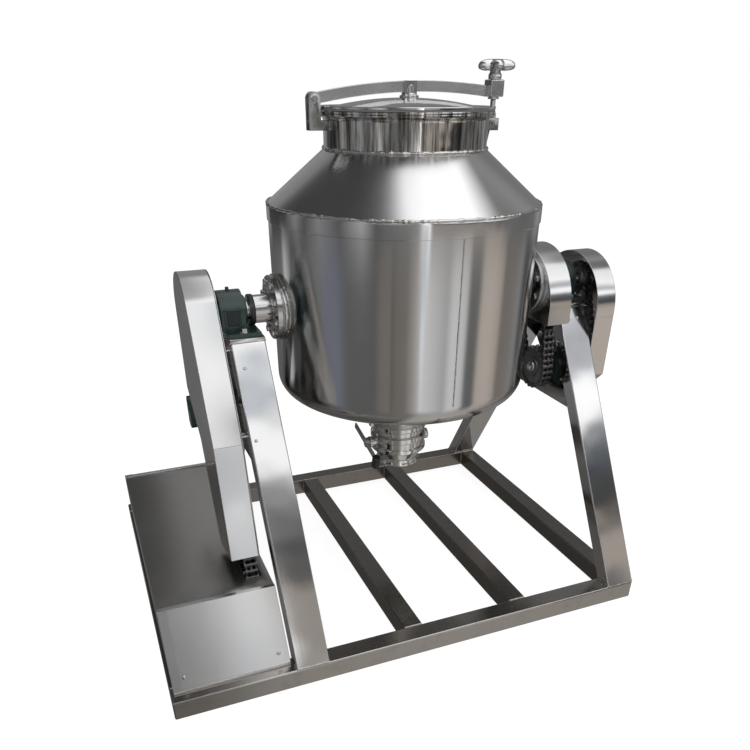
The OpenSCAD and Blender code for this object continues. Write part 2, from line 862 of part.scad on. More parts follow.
// Pillow block: a foot, a round housing with a cover at each end, bored for the bearing's ring
module pillow_block(foot_x, house_x) {
    left = house_x - block_w / 2;
    right = house_x + block_w / 2;
    difference() {
        union() {
            translate([foot_x - block_base / 2, -block_half, seat_h]) cube([block_base, 2 * block_half, block_h]);
            translate([left, -block_r, seat_h + block_h - over])
                cube([block_w, 2 * block_r, axis_z - seat_h - block_h + over]);
            rod_x(left, right, block_r);
            rod_x(left - cover_t, right + cover_t, cover_r);
        }
        rod_x(left + cover_t, right - cover_t, insert_r);
        rod_x(left - 2 * cover_t, right + 2 * cover_t, journal_r + cover_play);
        translate([left - over, -block_r, seat_h - block_r]) cube([block_w + 2 * over, 2 * block_r, block_r]);
        for (y = [-seat_bolt_y, seat_bolt_y]) translate([foot_x, y, seat_h - over])
            cylinder(h = block_h + 2 * over, r = seat_bolt_r + play);
    }
}

module pillow_blocks() {
    color("darkgreen") placed() {
        pillow_block(foot_left, house_left);
        pillow_block(leg_right + base_shift, leg_right);
    }
}

// Bearing rings in all four blocks
module bearing_inserts() {
    half = block_w / 2 - cover_t;
    color("silver") placed() {
        for (x = [house_left, leg_right]) difference() {
            rod_x(x - half, x + half, insert_r);
            rod_x(x - half - over, x + half + over, journal_r + play);
        }
        for (x = [leg_right - counter_seat, leg_right + counter_seat]) difference() {
            rod_x(x - counter_insert_w / 2, x + counter_insert_w / 2, counter_insert_r, -counter_y, counter_z);
            rod_x(x - counter_insert_w, x + counter_insert_w, counter_r + play, -counter_y, counter_z);
        }
    }
}

// A bolt from above: shank down to low, hexagonal head on high
module bolt_down(x, y, low, high, r) {
    translate([x, y, low]) cylinder(h = high - low + over, r = r);
    translate([x, y, high]) cylinder(h = head_share * r, r = head_wide_share * r, $fn = 6);
}

module bearing_bolts() {
    color("silver") placed() {
        for (x = [foot_left, leg_right + base_shift], y = [-seat_bolt_y, seat_bolt_y])
            bolt_down(x, y, seat_h - seat_t, seat_h + block_h, seat_bolt_r);
        for (x = [leg_right - counter_seat, leg_right + counter_seat], y = [-counter_bolt_y, counter_bolt_y])
            bolt_down(x, y - counter_y, beam_top, beam_top + counter_base, counter_bolt_r);
    }
}

module counter_blocks() {
    color("darkgreen") placed() for (x = [leg_right - counter_seat, leg_right + counter_seat]) difference() {
        union() {
            translate([x - counter_block_w / 2, -counter_y - counter_block_half, beam_top])
                cube([counter_block_w, 2 * counter_block_half, counter_base]);
            translate([x - counter_block_w / 2, -counter_y - counter_block_r, beam_top])
                cube([counter_block_w, 2 * counter_block_r, counter_up]);
            rod_x(x - counter_block_w / 2, x + counter_block_w / 2, counter_block_r, -counter_y, counter_z);
        }
        rod_x(x - counter_insert_w / 2, x + counter_insert_w / 2, counter_insert_r, -counter_y, counter_z);
        rod_x(x - counter_block_w, x + counter_block_w, counter_r + cover_play, -counter_y, counter_z);
        for (y = [-counter_bolt_y, counter_bolt_y]) translate([x, y - counter_y, beam_top - over])
            cylinder(h = counter_base + 2 * over, r = counter_bolt_r + play);
    }
}

// Inner right guard: an arch over the drum's sprocket, open below
arch_drop = 50;
arch_skirt = 40;
inner_half = drum_pr + link_half + arch_drop + chain_gap + sheet;
arch_z = axis_z - arch_drop;
inner_low = arch_z - arch_skirt;

module arch_outline(half, z, low, wall) {
    translate([0, z]) circle(r = half - wall);
    translate([wall - half, low]) square([2 * (half - wall), z - low]);
}

module inner_guard() {
    color("silver") placed() difference() {
        intersection() {
            along_x(inner_left, inner_right) arch_outline(inner_half, arch_z, inner_low, 0);
            translate([inner_left - over, -inner_half, inner_low])
                cube([inner_guard_w + 2 * over, 2 * inner_half, 2 * inner_half]);
        }
        intersection() {
            along_x(inner_left + sheet, inner_right - sheet) arch_outline(inner_half, arch_z, inner_low - over, sheet);
            translate([inner_left, -inner_half, inner_low - over])
                cube([inner_guard_w, 2 * inner_half, 2 * inner_half]);
        }
        rod_x(inner_left - over, inner_right + over, trunnion_r + sheet);
        translate([inner_left - over, -trunnion_r - sheet, inner_low - over])
            cube([inner_guard_w + 2 * over, 2 * (trunnion_r + sheet), axis_z - inner_low + over]);
    }
}

// Outer right guard: an arch over the stirrer's sprocket, closed outside and below
outer_gap = 8;
outer_drop = 71;
outer_half = counter_y + counter_pr + link_half + outer_gap;
outer_low = counter_z - counter_pr - link_half - outer_gap;
outer_arch_z = axis_z - outer_drop;
seam_drop = 17;
outer_seam = outer_arch_z - seam_drop;
outer_cut = 48;
outer_rear = 110;

module outer_outline(wall) {
    tan_cut = 0.41 * wall;
    intersection() {
        union() {
            translate([0, outer_arch_z]) circle(r = outer_half - wall);
            polygon([[wall - outer_half, outer_arch_z], [wall - outer_half, outer_low + outer_cut + tan_cut],
                [outer_cut - outer_half + tan_cut, outer_low + wall],
                [outer_half - outer_rear - tan_cut, outer_low + wall],
                [outer_half - wall, outer_low + outer_rear + tan_cut], [outer_half - wall, outer_arch_z]]);
        }
        translate([-outer_half, outer_low]) square([2 * outer_half, 3 * outer_half]);
    }
}

module outer_part(from, to) {
    difference() {
        intersection() {
            along_x(outer_left, outer_right) outer_outline(0);
            translate([outer_left - over, -base_depth, from]) cube([outer_guard_w + 2 * over, 2 * base_depth, to - from]);
        }
        along_x(outer_left - over, outer_right - sheet) outer_outline(sheet);
    }
}

module outer_guard_upper() { color("silver") placed() outer_part(outer_seam + gap, axis_z + outer_half); }

module outer_guard_lower() { color("silver") placed() outer_part(outer_low - over, outer_seam); }

// Stirrer
module stirrer_shaft() {
    color("silver") placed()
        rod_x(hub_blind - pad_face, plane_outer + single_half + sheet, stir_r);
}

module stirrer_blades() {
    step = stir_span / (stir_arms - 1);
    color("silver") placed() difference() {
        for (i = [0 : stir_arms - 1]) translate([i * step - stir_span / 2, 0, axis_z]) rotate([90 * i, 0, 0]) {
            translate([-arm_hub_w / 2, 0, 0]) rotate([0, 90, 0]) cylinder(h = arm_hub_w, r = arm_hub_r);
            cylinder(h = arm_reach, r = arm_r);
            rotate(blade_turn) translate([-blade_w / 2, -blade_t / 2, arm_reach - blade_h / 2])
                cube([blade_w, blade_t, blade_h]);
        }
        rod_x(-stir_span, stir_span, stir_r);
    }
}

// Drum, turned round its own upright axis
module drum_side() {
    color("silver") placed() difference() {
        translate([0, 0, wall_low]) cylinder(h = wall_high - wall_low, r = drum_r);
        translate([0, 0, wall_low - over]) cylinder(h = wall_high - wall_low + 2 * over, r = drum_r - drum_wall);
        rod_x(-2 * drum_r, 2 * drum_r, hub_r);
    }
}

function knuckle(r) = [for (i = [0 : knuckle_steps])
    [corner_r + r * cos(90 * i / knuckle_steps), wall_low - r * sin(90 * i / knuckle_steps)]];

module drum_bottom() {
    inner = knuckle(knuckle_r - drum_wall);
    color("silver") placed() rotate_extrude() polygon(concat(
        knuckle(knuckle_r), [[outlet_out, outlet_high], [outlet_out, outlet_high + drum_wall]],
        [for (i = [knuckle_steps : -1 : 0]) inner[i]]));
}

module drum_shoulder() {
    color("silver") placed() rotate_extrude() polygon([[drum_r, wall_high], [neck_r, neck_low],
        [neck_r - drum_wall, neck_low], [drum_r - drum_wall, wall_high]]);
}

module neck() {
    color("silver") placed() rotate_extrude() polygon([[neck_r, neck_low], [neck_r, neck_high - rim_t],
        [rim_r, neck_high - rim_t], [rim_r, neck_high], [neck_r - drum_wall, neck_high],
        [neck_r - drum_wall, neck_low]]);
}

module shoulder_band() {
    color("silver") placed() translate([0, 0, wall_high - band_h]) difference() {
        cylinder(h = band_h, r = drum_r + band_t);
        translate([0, 0, -over]) cylinder(h = band_h + 2 * over, r = drum_r);
    }
}

// Pads between the drum's round wall and the trunnions' flat flanges
module hub_pads() {
    $fn = pad_fn;
    color("silver") placed() for (way = [0, 1]) mirror([way, 0, 0]) difference() {
        rod_x(drum_r - pad_sink, pad_face, flange_r);
        translate([0, 0, axis_z - 2 * flange_r]) cylinder(h = 4 * flange_r, r = drum_r);
        rod_x(drum_r - 2 * pad_sink, pad_face + over, hub_r);
    }
}

// Bushes through the drum's wall: blind at the left, open at the right
module hub_bushes() {
    color("goldenrod") placed() {
        difference() {
            rod_x(-pad_face, hub_depth - pad_face, hub_r);
            rod_x(hub_blind - pad_face, hub_depth, stir_r + play);
        }
        difference() {
            rod_x(pad_face - hub_depth, pad_face, hub_r);
            rod_x(pad_face - 2 * hub_depth, pad_face + over, stir_r + play);
        }
    }
}

module flange_holes(x) {
    for (i = [0 : flange_bolts - 1]) rotate([(i + 0.5) * 360 / flange_bolts, 0, 0])
        translate([x, 0, flange_bolt_r]) rotate([0, 90, 0]) children();
}

module left_trunnion() {
    color("silver") placed() difference() {
        union() {
            rod_x(-flange_face, -pad_face, flange_r);
            rod_x(tube_end_left, -pad_face, trunnion_r);
            rod_x(stub_end, tube_end_left + over, journal_r);
        }
        translate([0, 0, axis_z]) flange_holes(-flange_face - over)
            cylinder(h = flange_t + 2 * over, r = cap_bolt_r + play);
    }
}

module right_trunnion() {
    color("silver") placed() difference() {
        union() {
            rod_x(pad_face, flange_face, flange_r);
            rod_x(pad_face, tube_end_right, trunnion_r);
            rod_x(tube_end_right - over, right_end, journal_r);
        }
        rod_x(pad_face - over, right_end + over, hollow_r);
        translate([0, 0, axis_z]) flange_holes(pad_face - over)
            cylinder(h = flange_t + 2 * over, r = cap_bolt_r + play);
    }
}

module trunnion_bolts() {
    color("silver") placed() for (way = [0, 1]) mirror([way, 0, 0]) translate([0, 0, axis_z])
        flange_holes(pad_face) {
            cylinder(h = flange_t + over, r = cap_bolt_r);
            translate([0, 0, flange_t]) cylinder(h = cap_head_t, r = cap_wide_share * cap_bolt_r, $fn = 6);
        }
}

// Outlet
module outlet_neck() {
    color("silver") placed() difference() {
        union() {
            translate([0, 0, valve_top]) cylinder(h = outlet_high + drum_wall - valve_top, r = outlet_out);
            translate([0, 0, valve_top]) cylinder(h = ferrule_t, r = valve_r);
        }
        translate([0, 0, valve_top - over]) cylinder(h = outlet_high - valve_top + 3 * drum_wall, r = outlet_r);
    }
}

module valve_body() {
    color("silver") placed() difference() {
        union() {
            rotate_extrude() polygon([[0, valve_top], [valve_r, valve_top], [valve_r, valve_low],
                [tail_r, tail_top], [tail_r, tail_low + 2 * bead_h], [tail_r + bead, tail_low + bead_h],
                [tail_r + bead, tail_low], [0, tail_low]]);
            rod_x(-boss_end, boss_end, boss_r, 0, valve_z);
        }
        translate([0, 0, tail_low - over]) cylinder(h = valve_top - tail_low + 2 * over, r = valve_bore);
        rod_x(-boss_end - over, boss_end - drum_wall, stem_r + play, 0, valve_z);
    }
}

// Disc with its stem
module valve_disc() {
    color("silver") placed() {
        translate([0, 0, valve_z - disc_t / 2]) cylinder(h = disc_t, r = valve_bore - disc_gap);
        rod_x(-boss_end - lever_hub_t, boss_end - drum_wall - gap, stem_r, 0, valve_z);
    }
}

module valve_lever() {
    left = -boss_end - lever_hub_t;
    color("silver") placed() difference() {
        union() {
            rod_x(left, -boss_end - gap, 2 * stem_r, 0, valve_z);
            translate([left, 0, valve_z]) rotate([lever_tilt, 0, 0]) translate([0, -lever_front, -lever_w / 2])
                cube([lever_t, lever_front + lever_rear, lever_w]);
        }
        rod_x(left - over, 0, stem_r, 0, valve_z);
    }
}

module lever_grip() {
    left = -boss_end - lever_hub_t;
    color("black") placed() translate([left + lever_t / 2, 0, valve_z]) rotate([lever_tilt, 0, 0])
        translate([0, -lever_front - grip_r, -grip_len * 0.7]) cylinder(h = grip_len, r = grip_r);
}

// Lid, its gasket and the clamp bar over it
module lid() {
    top = [for (i = [0 : dome_steps]) let (r = dome_r * (1 - i / dome_steps)) [r, dome_z(r)]];
    low = [for (i = [0 : dome_steps]) let (r = dome_r * i / dome_steps) [r, dome_z(r) - lid_wall]];
    color("silver") placed() rotate_extrude() polygon(concat(
        [[rim_r, lid_low], [rim_r, lid_top]], top, low, [[dome_r, lid_low]]));
}

module lid_gasket() {
    color("white") placed() rotate_extrude()
        translate([neck_r - drum_wall, lid_low - gasket_t]) square([rim_r - neck_r, gasket_t]);
}

module clamp_bar() {
    end = stud_out - fork_half;
    color("silver") placed() difference() {
        union() {
            rotate([90, 0, 0]) translate([0, 0, -bar_t / 2]) linear_extrude(bar_t) polygon(concat(
                [for (i = [0 : bar_steps]) let (x = i * (end + over + hinge_out) / bar_steps - hinge_out)
                    [x, bar_top(x)]],
                [for (i = [bar_steps : -1 : 0]) let (x = i * (end + over + hinge_out) / bar_steps - hinge_out)
                    [x, bar_top(x) - bar_h]]));
            rod_y(-hinge_out, hinge_z, bar_t / 2, bar_h / 2);
            translate([end, -fork_y, fork_low]) cube([2 * fork_half, 2 * fork_y, fork_tall]);
            for (y = [-bar_t / 2 - cheek_t, bar_t / 2])
                translate([cheek_x - cheek_w / 2, y, dome_z(0)]) cube([cheek_w, cheek_t, bar_top(0) - dome_z(0)]);
            translate([cheek_x, 0, dome_z(0)]) cylinder(h = bar_top(0) - bar_h / 2 - dome_z(0), r = pillar_r);
        }
        rod_y(-hinge_out, hinge_z, bar_t, pin_r + play);
        translate([stud_out, 0, fork_low - over]) cylinder(h = fork_tall + 2 * over, r = sleeve_r + play);
    }
}

// Hinge bracket at the left with its pin, lug at the right with the stud
module clamp_mounts() {
    ear_in = bar_t / 2 + gap;
    ear_out = ear_in + ear_t;
    color("silver") placed() {
        difference() {
            union() {
                for (y = [-ear_out, ear_in]) {
                    translate([-hinge_out - ear_r, y, shelf_low]) cube([2 * ear_r, ear_t, hinge_z - shelf_low]);
                    translate([-hinge_out, y + ear_t, hinge_z]) rotate([90, 0, 0]) cylinder(h = ear_t, r = ear_r);
                }
                translate([-hinge_out - ear_r, -ear_out, shelf_low])
                    cube([hinge_out + ear_r - neck_r + lug_out, 2 * ear_out, shelf_t]);
                rod_y(-hinge_out, hinge_z, ear_out + pin_r, pin_r);
                rod_y(-hinge_out, hinge_z, ear_out + pin_r / 2, pin_r);
            }
            drum_body();
        }
        difference() {
            union() {
                translate([neck_r - lug_out, -lug_y, lug_low]) cube([stud_out + lug_out - neck_r + lug_out, 2 * lug_y, lug_t]);
                translate([0, gusset_y, 0]) rotate([90, 0, 0]) linear_extrude(2 * gusset_y) polygon([
                    [neck_r - lug_out, lug_low + over], [stud_out - gusset_y, lug_low + over],
                    [stud_out - lug_y, neck_low - gusset_low], [neck_r - lug_out, neck_low - gusset_low]]);
                translate([stud_out, 0, lug_low]) cylinder(h = fork_low + stud_stand - lug_low, r = stud_r);
                translate([stud_out, 0, lug_low + lug_t - over]) cylinder(h = nut_h + over, r = 1.8 * stud_r, $fn = 6);
                rod_y(stud_out, lug_low + lug_t / 2, lug_y + pin_r / 2, pin_r);
            }
            drum_body();
        }
    }
}

// The drum's outside as one solid, to cut pieces that are welded on it
module drum_body() {
    rotate_extrude() polygon([[0, wall_low], [drum_r, wall_low], [drum_r, wall_high], [neck_r, neck_low],
        [neck_r, neck_high - rim_t], [0, neck_high - rim_t]]);
}

// Star knob with a sleeve through the fork and a keeper below it
module hand_knob() {
    reach = knob_r - lobe_r;
    color("black") placed() translate([stud_out, 0, 0]) difference() {
        union() {
            translate([0, 0, fork_low - gap - keeper_t]) cylinder(h = keeper_t, r = keeper_r);
            translate([0, 0, fork_low - gap - over]) cylinder(h = fork_tall + 2 * gap + 2 * over, r = sleeve_r);
            translate([0, 0, fork_high + gap]) cylinder(h = boss_h + over, r = 1.6 * sleeve_r);
            translate([0, 0, fork_high + gap + boss_h]) {
                cylinder(h = star_h, r = star_hub);
                for (i = [0 : star_lobes - 1]) rotate((i + 0.5) * 360 / star_lobes)
                    translate([reach, 0, 0]) cylinder(h = star_h, r = lobe_r);
            }
        }
        translate([0, 0, fork_low - keeper_t - over]) cylinder(h = fork_tall, r = stud_r + thread_play);
    }
}

front_rail();
back_rail();
cross_bars();
left_legs();
right_legs();
bearing_seats();
leg_beams();
deck_plate();
hood_shell();
hood_front_panel();
hood_back_panel();
main_gearbox();
main_motor();
motor_cowl();
terminal_box();
motor_sprocket();
main_chain();
main_sprocket();
tensioner_bracket();
tensioner_arm();
idler_sprocket();
left_guard_plate();
left_guard_upper();
left_guard_lower();
guard_tabs();
pillow_blocks();
bearing_inserts();
bearing_bolts();
inner_guard();
outer_guard_upper();
outer_guard_lower();
counter_blocks();
countershaft();
counter_sprockets();
inner_chain();
outer_chain();
drum_sprocket();
stirrer_sprocket();
stirrer_shaft();
stirrer_blades();
drum_side();
drum_bottom();
drum_shoulder();
neck();
shoulder_band();
hub_pads();
hub_bushes();
left_trunnion();
right_trunnion();
trunnion_bolts();
outlet_neck();
valve_body();
valve_disc();
valve_lever();
lever_grip();
lid();
lid_gasket();
clamp_bar();
clamp_mounts();
hand_knob();
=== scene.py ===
# %% [markdown]
# # Rotary drum mixer
# A stainless steel drum hangs on two trunnions between A-shaped legs. Every cell below makes one
# family of pieces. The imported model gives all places, so each cell starts from its corners, and the
# pieces made here take the place of its plain solids one by one.

# %% Load the frame
import json
import math
import bmesh
import bpy
from mathutils import Matrix, Vector

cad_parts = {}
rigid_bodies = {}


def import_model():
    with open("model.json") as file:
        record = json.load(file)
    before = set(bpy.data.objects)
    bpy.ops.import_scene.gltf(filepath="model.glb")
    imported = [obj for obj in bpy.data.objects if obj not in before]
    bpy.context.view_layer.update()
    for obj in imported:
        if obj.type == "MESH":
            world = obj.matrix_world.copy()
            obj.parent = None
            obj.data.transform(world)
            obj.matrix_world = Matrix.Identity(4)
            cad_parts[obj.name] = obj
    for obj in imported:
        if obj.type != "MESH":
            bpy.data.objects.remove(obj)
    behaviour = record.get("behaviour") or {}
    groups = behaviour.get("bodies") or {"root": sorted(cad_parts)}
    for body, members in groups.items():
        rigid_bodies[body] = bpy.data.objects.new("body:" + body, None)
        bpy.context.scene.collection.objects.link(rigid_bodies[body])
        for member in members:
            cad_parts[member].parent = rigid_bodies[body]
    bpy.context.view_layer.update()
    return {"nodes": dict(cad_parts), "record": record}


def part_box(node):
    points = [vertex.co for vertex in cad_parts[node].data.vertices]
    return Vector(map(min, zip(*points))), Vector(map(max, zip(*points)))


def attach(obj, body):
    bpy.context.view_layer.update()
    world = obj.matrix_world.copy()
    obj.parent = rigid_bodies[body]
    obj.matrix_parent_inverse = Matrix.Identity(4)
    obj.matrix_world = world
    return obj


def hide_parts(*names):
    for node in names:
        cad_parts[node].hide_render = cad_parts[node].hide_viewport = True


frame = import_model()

NODES = frame["nodes"]
BODIES = frame["record"]["behaviour"]["bodies"]
BODY_OF = {node: body for body, nodes in BODIES.items() for node in nodes}
MM = 0.001
DRUM_X = sum(corner.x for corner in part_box("drum_side")) / 2


# %% [markdown]
# ## Camera
# The photograph is a crop: its principal point lies below the middle, so upright edges converge
# less than the camera's tilt alone would give. Tilting the camera further would give the same
# middle but other angles, so a vertical shift puts that point back. The numbers are the result of
# fitting one pinhole camera to about forty edges.

# %% Camera
PICTURE = 750
FOCAL_PIXELS, SENSOR = 706.0046, 36
PRINCIPAL = (374.614, 540.02)
YAW, PITCH, ROLL = 0.386742535, 0.568121812, 0.00506309963
EYE = (DRUM_X - 0.880525, -1.963283, 1.397107)


def photo_camera():
    forward = Vector((math.sin(YAW) * math.cos(PITCH), math.cos(YAW) * math.cos(PITCH), -math.sin(PITCH)))
    level = Vector((math.cos(YAW), -math.sin(YAW), 0))
    rise = level.cross(forward)
    right = level * math.cos(ROLL) + rise * math.sin(ROLL)
    up = rise * math.cos(ROLL) - level * math.sin(ROLL)
    data = bpy.data.cameras.new("photo_camera")
    data.sensor_width = SENSOR
    data.lens = FOCAL_PIXELS / PICTURE * SENSOR
    data.shift_x = (PICTURE / 2 - PRINCIPAL[0]) / PICTURE
    data.shift_y = (PRINCIPAL[1] - PICTURE / 2) / PICTURE
    data.clip_end = 60
    camera = bpy.data.objects.new("photo_camera", data)
    turn = Matrix((right, up, -forward)).transposed().to_4x4()
    camera.matrix_world = Matrix.Translation(EYE) @ turn
    bpy.context.scene.collection.objects.link(camera)
    bpy.context.scene.camera = camera
    return camera


print("camera lens:", round(photo_camera().data.lens, 2), "mm")


# %% [markdown]
# ## Writing shader maths as expressions
# A Math node is only arithmetic. The small class below wraps a socket, so that `1 - mask` adds the
# node by itself and a finish can be read like a formula.

# %% Shader maths
class Value:
    def __init__(self, paint, socket):
        self.paint, self.socket = paint, socket

    def math(self, operation, other, swap=False):
        first, second = (other, self) if swap else (self, other)
        return self.paint.node("ShaderNodeMath", {"operation": operation}, {0: first, 1: second})

    def __add__(self, other): return self.math("ADD", other)
    def __radd__(self, other): return self.math("ADD", other)
    def __sub__(self, other): return self.math("SUBTRACT", other)
    def __rsub__(self, other): return self.math("SUBTRACT", other, True)
    def __mul__(self, other): return self.math("MULTIPLY", other)
    def __rmul__(self, other): return self.math("MULTIPLY", other)
    def __truediv__(self, other): return self.math("DIVIDE", other)


class Paint:
    """A material, the record's slot it belongs to, and one method that adds any node."""

    def __init__(self, name, slot=None, **sockets):
        self.material = bpy.data.materials.new(name)
        self.material.use_nodes = True
        self.tree, self.slot = self.material.node_tree, slot
        self.shader = self.tree.nodes["Principled BSDF"]
        for socket, value in sockets.items():
            self.shader.inputs[socket.replace("_", " ")].default_value = value

    def node(self, kind, settings=None, sockets=None, out=0):
        made = self.tree.nodes.new(kind)
        for key, value in (settings or {}).items():
            if key == "stops":
                ramp = made.color_ramp
                while len(ramp.elements) < len(value):
                    ramp.elements.new(0.5)
                for element, (place, shade) in zip(ramp.elements, value):
                    element.position = place
                    element.color = shade if isinstance(shade, tuple) else (shade, shade, shade, 1)
            else:
                setattr(made, key, value)
        for key, value in (sockets or {}).items():
            if isinstance(value, Value):
                self.tree.links.new(value.socket, made.inputs[key])
            else:
                made.inputs[key].default_value = value
        return Value(self, made.outputs[out])

    def feed(self, socket, value):
        self.tree.links.new(value.socket, self.shader.inputs[socket])

    def place(self, scale=(1, 1, 1), turn=(0, 0, 0), centre=(0, 0, 0)):
        spot = self.node("ShaderNodeTexCoord", out="Object")
        moved = self.node("ShaderNodeVectorMath", {"operation": "SUBTRACT"}, {0: spot, 1: centre})
        return self.node("ShaderNodeMapping", {}, {"Vector": moved, "Rotation": turn, "Scale": scale})

    def speckle(self, spot, scale, detail=2.0, rough=0.5):
        return self.node("ShaderNodeTexNoise", {}, {"Vector": spot, "Scale": scale, "Detail": detail,
                                                    "Roughness": rough})

    def between(self, value, low, high, to_low=0.0, to_high=1.0):
        return self.node("ShaderNodeMapRange", {}, {"Value": value, "From Min": low, "From Max": high,
                                                    "To Min": to_low, "To Max": to_high})

    def mixed(self, factor, first, second):
        """Colour between two colours, each a tuple or a socket."""
        return self.node("ShaderNodeMix", {"data_type": "RGBA"}, {0: factor, 6: first, 7: second}, out=2)

    def bump(self, height, depth):
        self.feed("Normal", self.node("ShaderNodeBump", {}, {"Height": height, "Distance": depth, "Strength": 1.0}))


def grey(level, warm=0.0):
    return (level * (1 + warm), level, level * (1 - warm), 1)


print("a warm mid grey:", [round(c, 3) for c in grey(0.5, 0.1)])


# %% [markdown]
# ## Steel, finish by finish
# All steel here is one alloy; only its surface differs. Brushing leaves fine grooves one way, so a
# reflection is drawn out across them and stays sharp along them. An image texture could show that,
# but it would repeat. Here the grooves are a stretched noise that feeds the bump, slower noise makes
# the sheet uneven, and a third one is hand smears. `shade` and `rough` tell the finishes apart.

# %% Steel
EVEN_DEPTH = 1.0  # heights are in metres already, so the bump adds no scale


def steel(name, slot, shade, rough, grain, grain_depth, wave_scale, wave_depth, around=False, warm=0.0,
          smear=0.05, dirt=0.0, drawn=0.0, streaks=0.0):
    """grain: how many grooves per metre along X, Y and Z; around: the grooves run round the drum's axis.
    drawn: how far a reflection is drawn out across the grooves of a turned or brushed round piece."""
    paint = Paint(name, slot, Metallic=1.0, Anisotropic=drawn, Anisotropic_Rotation=0.25)
    if around:
        spot = paint.place(centre=(DRUM_X, 0, 0))
        split = paint.node("ShaderNodeSeparateXYZ", {}, {0: spot})
        x, y, z = (Value(paint, split.socket.node.outputs[i]) for i in range(3))
        turn = y.math("ARCTAN2", x)
        grain_spot = paint.node("ShaderNodeCombineXYZ", {}, {0: turn * grain[0], 1: z * grain[2], 2: 0.0})
    else:
        grain_spot = paint.place(scale=grain)
    lines = paint.speckle(grain_spot, 1.0, 3.0, 0.6)
    even = paint.place()
    waves = paint.speckle(even, wave_scale, 1.0)
    hands = paint.speckle(even, 7.0, 4.0, 0.6)
    stain = paint.between(paint.speckle(even, 26.0, 5.0, 0.7), 0.52, 0.75)
    bright = paint.mixed(hands, grey(shade * 0.93, warm), grey(shade * 1.05, warm))
    if streaks:
        upright = paint.node("ShaderNodeCombineXYZ", {}, {0: turn * 16.0, 1: z * 4.0, 2: 0.0})
        fine = paint.speckle(upright, 1.0, 4.0, 0.7)
        bright = paint.mixed(paint.between(fine, 0.4, 0.56, streaks, 0.0), bright, grey(0.1, 0.25))
    paint.feed("Base Color", paint.mixed(stain * dirt, bright, grey(shade * 0.45, 0.12)))
    paint.feed("Roughness", rough - smear + 2 * smear * hands + 0.25 * dirt * stain)
    paint.bump(lines * grain_depth + waves * wave_depth, EVEN_DEPTH)
    return paint


print("steel recipe ready")


# %% [markdown]
# Each finish has a name, the slot it fills, its shade and roughness, its grooves per metre along X, Y
# and Z, and how deep grooves and waves are. The drum and the cone have their reflections drawn out
# round the axis, as on rolled and ground sheet. The neck is polished and streaked, the legs are bright
# and uneven, the front rail is duller, and the wheels are dark with oil. The back rail, the bars and the
# leg beams take a darker, duller copy of the frame steel: that darkness is painted shade, with real stains on top.

# %% Finishes of steel
DRUM_STEEL = steel("drum_steel", "stainless_drum", 0.64, 0.15, (3, 0, 500), 0.000008, 2.2, 0.0016, around=True,
                   smear=0.02, drawn=0.9)
SHOULDER_STEEL = steel("shoulder_steel", "stainless_drum", 0.7, 0.17, (3, 0, 500), 0.000008, 2.0, 0.0014, around=True,
                       smear=0.02, drawn=0.8)
MIRROR_STEEL = steel("mirror_steel", "polished_steel", 0.78, 0.06, (40, 0, 60), 0.000004, 14, 0.0016, around=True,
                     smear=0.02)
NECK_STEEL = steel("neck_steel", "polished_steel", 0.8, 0.07, (40, 0, 60), 0.000004, 14, 0.001, around=True,
                   smear=0.02, drawn=0.6, streaks=0.85)
CAST_STEEL = steel("cast_steel", "polished_steel", 0.66, 0.2, (300, 300, 300), 0.00002, 30, 0.0006)
SATIN_STEEL = steel("satin_steel", "polished_steel", 0.62, 0.26, (30, 800, 800), 0.00003, 12, 0.0008)
LEG_STEEL = steel("leg_steel", "stainless_frame", 0.74, 0.11, (60, 12, 5), 0.00004, 6, 0.0035, smear=0.03)
RAIL_STEEL = steel("rail_steel", "stainless_frame", 0.46, 0.18, (5, 60, 60), 0.00004, 7, 0.0016, warm=0.05,
                   dirt=0.25)
# A darker copy of the frame steel for parts under the drum and the guards: its low shade is painted shade, its stains
# are real dirt.
SHADED_BAR_STEEL = steel("bar_steel", "stainless_frame", 0.25, 0.24, (60, 5, 60), 0.00004, 8, 0.0012, warm=0.07,
                  dirt=0.3)
SHEET_STEEL = steel("sheet_steel", "stainless_sheet", 0.7, 0.16, (20, 200, 10), 0.00003, 5, 0.003, smear=0.04)
HOOD_STEEL = steel("hood_steel", "stainless_sheet", 0.60, 0.3, (20, 500, 500), 0.00003, 4, 0.0012, warm=0.02,
                   dirt=0.12)
PANEL_STEEL = steel("panel_steel", "stainless_sheet", 0.7, 0.2, (200, 20, 20), 0.00002, 3, 0.0016, smear=0.03)
TURNED_STEEL = steel("turned_steel", "machined_steel", 0.62, 0.17, (400, 30, 30), 0.00003, 20, 0.0006)
BOLT_STEEL = steel("bolt_steel", "machined_steel", 0.6, 0.25, (200, 200, 200), 0.00003, 60, 0.0006)
WHEEL_STEEL = steel("wheel_steel", "sprocket_steel", 0.2, 0.42, (60, 60, 60), 0.0001, 30, 0.0002, dirt=0.8)
CHAIN_STEEL = steel("chain_steel", "chain_steel", 0.13, 0.36, (200, 200, 200), 0.00005, 40, 0.0001, dirt=0.8)
WELD_STEEL = steel("weld_steel", "stainless_drum", 0.62, 0.2, (120, 120, 120), 0.0003, 60, 0.0012, warm=0.03)
FRAME_WELD = steel("frame_weld_steel", "stainless_frame", 0.5, 0.3, (120, 120, 120), 0.0003, 60, 0.0006, warm=0.04)
print("steel finishes:", len([m for m in bpy.data.materials if m.name.endswith("steel")]))


# %% [markdown]
# ## Paint, plastic, bronze and rubber
# The castings are sprayed dark green over a rough skin, so their finish has a fine pebble, runs of
# thicker paint and chips down to grey iron. The others are plain, each with its own fine grain.

